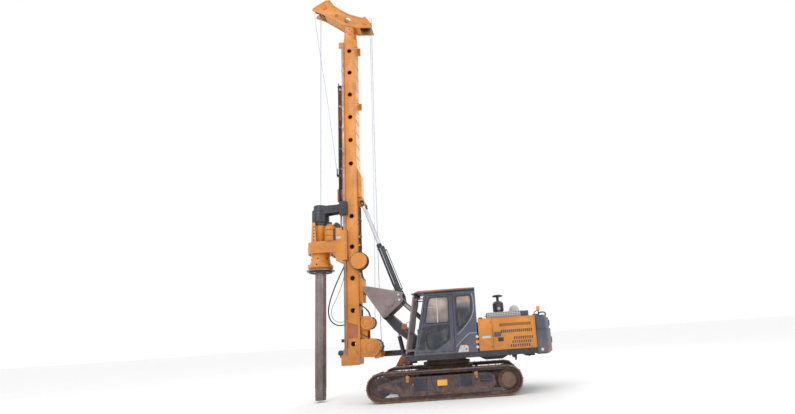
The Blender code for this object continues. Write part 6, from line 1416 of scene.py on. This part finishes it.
for side, tag in ((1, "left"), (-1, "right")):
    shoes = Piece("track_shoes_" + tag, "undercarriage", "muddy_steel", bevel=0.0015)
    links = Piece("track_links_" + tag, "undercarriage", "dark_iron")
    pitch = LOOP / SHOES
    middle_x = 1.0 * side
    for k in range(SHOES):
        centre, out = track_place((k + 0.5) * pitch)
        along = Vector((0, -out.z, out.y))
        if centre.y not in (-WHEELBASE / 2, WHEELBASE / 2) or abs(out.z) == 1:
            flat = PLATE_RADIUS
        else:
            flat = PLATE_RADIUS * math.cos(pitch / PLATE_RADIUS / 2)
        foot = centre + Vector((middle_x, 0, 0))
        edge = 0.2485 + 0.0015 * noise.noise(Vector((k * 0.7, side * 3.1, 0.0)))
        for start, stop, low, high, lean in ((-0.43, 0.43, -0.0155, 0.0015, 0.0),
                                             (-0.415, -0.355, 0.0, 0.02, -0.003), (-0.04, 0.01, 0.0, 0.011, -0.002),
                                             (0.32, 0.37, 0.0, 0.011, -0.002)):
            bar_across(shoes, foot, out, along, edge, (pitch * start, pitch * stop), (flat + low, flat + high),
                       lean)
        for x in (-0.055, 0.055):
            for a in (-0.04, 0.035):
                spot = foot + Vector((x, 0, 0)) + out * (flat + 0.0015) + along * a
                shoes.lathe(spot, out, [(0, 0.012), (0.008, 0.012), (0.009, 0.009)], 6)
        for x in (-0.088, 0.074):
            rings = []
            for dx in (0.0, 0.014):
                ring = []
                for i in range(14):
                    a = 2 * math.pi * i / 14
                    ring.append(foot + Vector((x + dx, 0, 0)) + out * (flat - 0.052 + 0.03 * math.sin(a))
                                + along * (0.088 * math.copysign(abs(math.cos(a)) ** 0.6, math.cos(a))))
                rings.append(ring)
            links.loft(rings)
        links.rod(foot + Vector((-0.095, 0, 0)) + out * (flat - 0.05) + along * pitch / 2,
                  foot + Vector((0.095, 0, 0)) + out * (flat - 0.05) + along * pitch / 2, 0.019, 12)
    shoes.done()
    links.done()

    run = Piece("track_frame_trim_" + tag, "undercarriage", "dark_iron", bevel=0.003)
    face = 1.0 * side + 0.145 * side

    def at_face(a, b):
        return sorted((face + a * side, face + b * side))

    run.frame(round_corners([(-1.22, 0.215), (1.17, 0.215), (1.28, 0.33), (1.25, 0.53), (1.08, 0.585),
                             (-1.08, 0.585), (-1.27, 0.51), (-1.3, 0.31)], 0.05), 0.025, *at_face(-0.002, 0.01))
    for y in (-0.86, -0.42, 0.38, 0.8):
        run.prism([(y - 0.02, 0.22), (y + 0.02, 0.22), (y + 0.015, 0.58), (y - 0.015, 0.58)],
                  *at_face(-0.001, 0.018))
    for y in [(-3 + k) * 0.36 for k in range(7)]:
        run.lathe((1.0 * side + 0.118 * side, y, 0.178), (side, 0, 0),
                  [(0, 0.05), (0.02, 0.046), (0.03, 0.035), (0.03, 0.012)], 22)
        run.prism(round_corners([(y - 0.075, 0.13), (y + 0.075, 0.13), (y + 0.05, 0.235), (y - 0.05, 0.235)], 0.02),
                  *at_face(-0.004, 0.006))
        for dy in (-0.05, 0.05):
            run.bolt((face + 0.005 * side, y + dy, 0.16), (side, 0, 0), 0.01, 0.01)
    for y0, y1, z in ((-1.16, -0.86, 0.44), (0.92, 1.2, 0.47)):
        run.pipe([(face, y0, z + 0.05), (face + 0.035 * side, y0 + 0.01, z + 0.04),
                  (face + 0.035 * side, y0 + 0.04, z - 0.035), (face + 0.035 * side, y1 - 0.04, z - 0.035),
                  (face + 0.035 * side, y1 - 0.01, z + 0.04), (face, y1, z + 0.05)], 0.02, 0.012)
        run.box(tuple(at_face(-0.001, 0.012)), (y0 + 0.02, y1 - 0.02), (z - 0.01, z + 0.01))
    # painted shade: darker navy plates on the frame's side where its recesses lie in shade
    dark = Piece("frame_recess_" + tag, "undercarriage", "navy_shadow", "black_paint", bevel=0.002)
    for outline, proud in (([(-0.8, 0.22), (-0.44, 0.22), (-0.42, 0.56), (-0.8, 0.58)], 0.008),
                           ([(0.34, 0.3), (0.7, 0.3), (0.7, 0.57), (0.36, 0.57)], 0.01),
                           ([(0.92, 0.36), (1.2, 0.37), (1.2, 0.53), (0.9, 0.55)], 0.006),
                           ([(-1.24, 0.4), (-0.92, 0.4), (-0.92, 0.53), (-1.22, 0.5)], 0.006)):
        dark.prism(outline, *at_face(-0.001, proud))
    dark.prism([(-1.7, 0.24), (-1.4, 0.24), (-1.36, 0.36), (-1.7, 0.36)], *sorted((1.15 * side, 1.159 * side)))
    dark.done()
    for y in (-0.1, 0.1):
        run.prism([(y - 0.05, 0.13), (y + 0.05, 0.13), (y + 0.07, 0.26), (y - 0.07, 0.26)], *at_face(0.004, 0.02))
    run.lathe((1.0 * side + 0.15 * side, -1.64, 0.385), (side, 0, 0),
              [(0, 0.085), (0.02, 0.08), (0.026, 0.06), (0.03, 0.02)], 30)
    run.bolts((1.0 * side + 0.168 * side, -1.64, 0.385), (side, 0, 0), 0.062, 6, 0.008, 0.01)
    run.prism(round_corners([(-1.74, 0.33), (-1.36, 0.33), (-1.32, 0.47), (-1.72, 0.47)], 0.02),
              *sorted((1.151 * side, 1.162 * side)))
    run.done()
    caps = Piece("carrier_caps_" + tag, "undercarriage", "orange_paint", bevel=0.002)
    for y in (-0.95, 0.82):
        caps.lathe((1.0 * side + 0.09 * side, y, 0.6), (side, 0, 0),
                   [(0, 0.056), (0.08, 0.056), (0.1, 0.045), (0.104, 0.02)], 26)
        caps.prism([(y - 0.04, 0.48), (y + 0.03, 0.48), (y + 0.045, 0.6), (y - 0.045, 0.6)], *at_face(-0.02, 0.012))
    caps.lathe((1.0 * side + 0.145 * side, -0.82, 0.42), (side, 0, 0), [(0, 0.022), (0.014, 0.02), (0.016, 0.008)],
               16)
    caps.done()
    sign = Piece("frame_plate_" + tag, "undercarriage", "yellow_plate", "orange_paint", bevel=0.001)
    sign.prism(round_corners([(-0.185, 0.35), (0.07, 0.35), (0.07, 0.495), (-0.185, 0.495)], 0.01),
               *at_face(0.0101, 0.014))
    sign.done()
    band = Piece("frame_stripe_" + tag, "undercarriage", "stripe_red", "orange_paint", bevel=0.001)
    band.prism([(-1.72, 0.395), (-1.7, 0.42), (-1.44, 0.415), (-1.44, 0.38)],
               *sorted((1.162 * side, 1.1645 * side)))
    band.done()
    teeth = Piece("sprocket_trim_" + tag, "undercarriage", "muddy_steel", bevel=0.002)
    for k in range(21):
        a = 2 * math.pi * k / 21
        tip = Vector((0, math.cos(a), math.sin(a)))
        over_ = Vector((0, -math.sin(a), math.cos(a)))
        rings = []
        for dx in (-0.028, 0.028):
            spot = Vector((middle_x + dx, 1.64, 0.385))
            rings.append([spot + tip * 0.23 - over_ * 0.026, spot + tip * 0.262 - over_ * 0.012,
                          spot + tip * 0.262 + over_ * 0.012, spot + tip * 0.23 + over_ * 0.026])
        teeth.loft(rings)
    teeth.bolts((middle_x + 0.16 * side, 1.64, 0.385), (side, 0, 0), 0.18, 16, 0.012, 0.012)
    teeth.ring((middle_x + 0.19 * side, 1.64, 0.385), (1, 0, 0), 0.15, 0.008, 32, 6)
    teeth.bolts((middle_x + 0.198 * side, 1.64, 0.385), (side, 0, 0), 0.06, 4, 0.012, 0.004)
    teeth.done()


# ------------------------------------------------------------------ studio
def studio():
    floor = bmesh.new()
    bmesh.ops.create_grid(floor, x_segments=24, y_segments=24, size=400)
    mesh = bpy.data.meshes.new("floor")
    floor.to_mesh(mesh)
    floor.free()
    n = Nodes("floor_paint")
    n.link(n.mix(n.span(n.noise(0.6, 4), 0.4, 0.6), (0.93, 0.93, 0.93), (0.95, 0.95, 0.95)),
           n.shader.inputs["Base Color"])
    n.shader.inputs["Roughness"].default_value = 0.9
    mesh.materials.append(n.material)
    floor_obj = bpy.data.objects.new("floor", mesh)
    bpy.context.scene.collection.objects.link(floor_obj)
    world = bpy.data.worlds.new("studio")
    world.use_nodes = True
    world.node_tree.nodes["Background"].inputs["Color"].default_value = (1.0, 1.0, 1.0, 1.0)
    world.node_tree.nodes["Background"].inputs["Strength"].default_value = 1.0
    bpy.context.scene.world = world
    for name, place, size, power in (("key", (16, -9, 17), 9.0, 950.0), ("fill", (10, 16, 10), 10.0, 450.0),
                                     ("back", (-14, 3, 14), 9.0, 380.0)):
        lamp = bpy.data.lights.new(name, "AREA")
        lamp.size, lamp.energy = size, power
        obj = bpy.data.objects.new(name, lamp)
        bpy.context.scene.collection.objects.link(obj)
        obj.location = place
        obj.rotation_mode = "QUATERNION"
        obj.rotation_quaternion = (Vector((0, 0, 3)) - Vector(place)).to_track_quat("-Z", "Y")
    bpy.context.scene.view_settings.view_transform = "Standard"


studio()
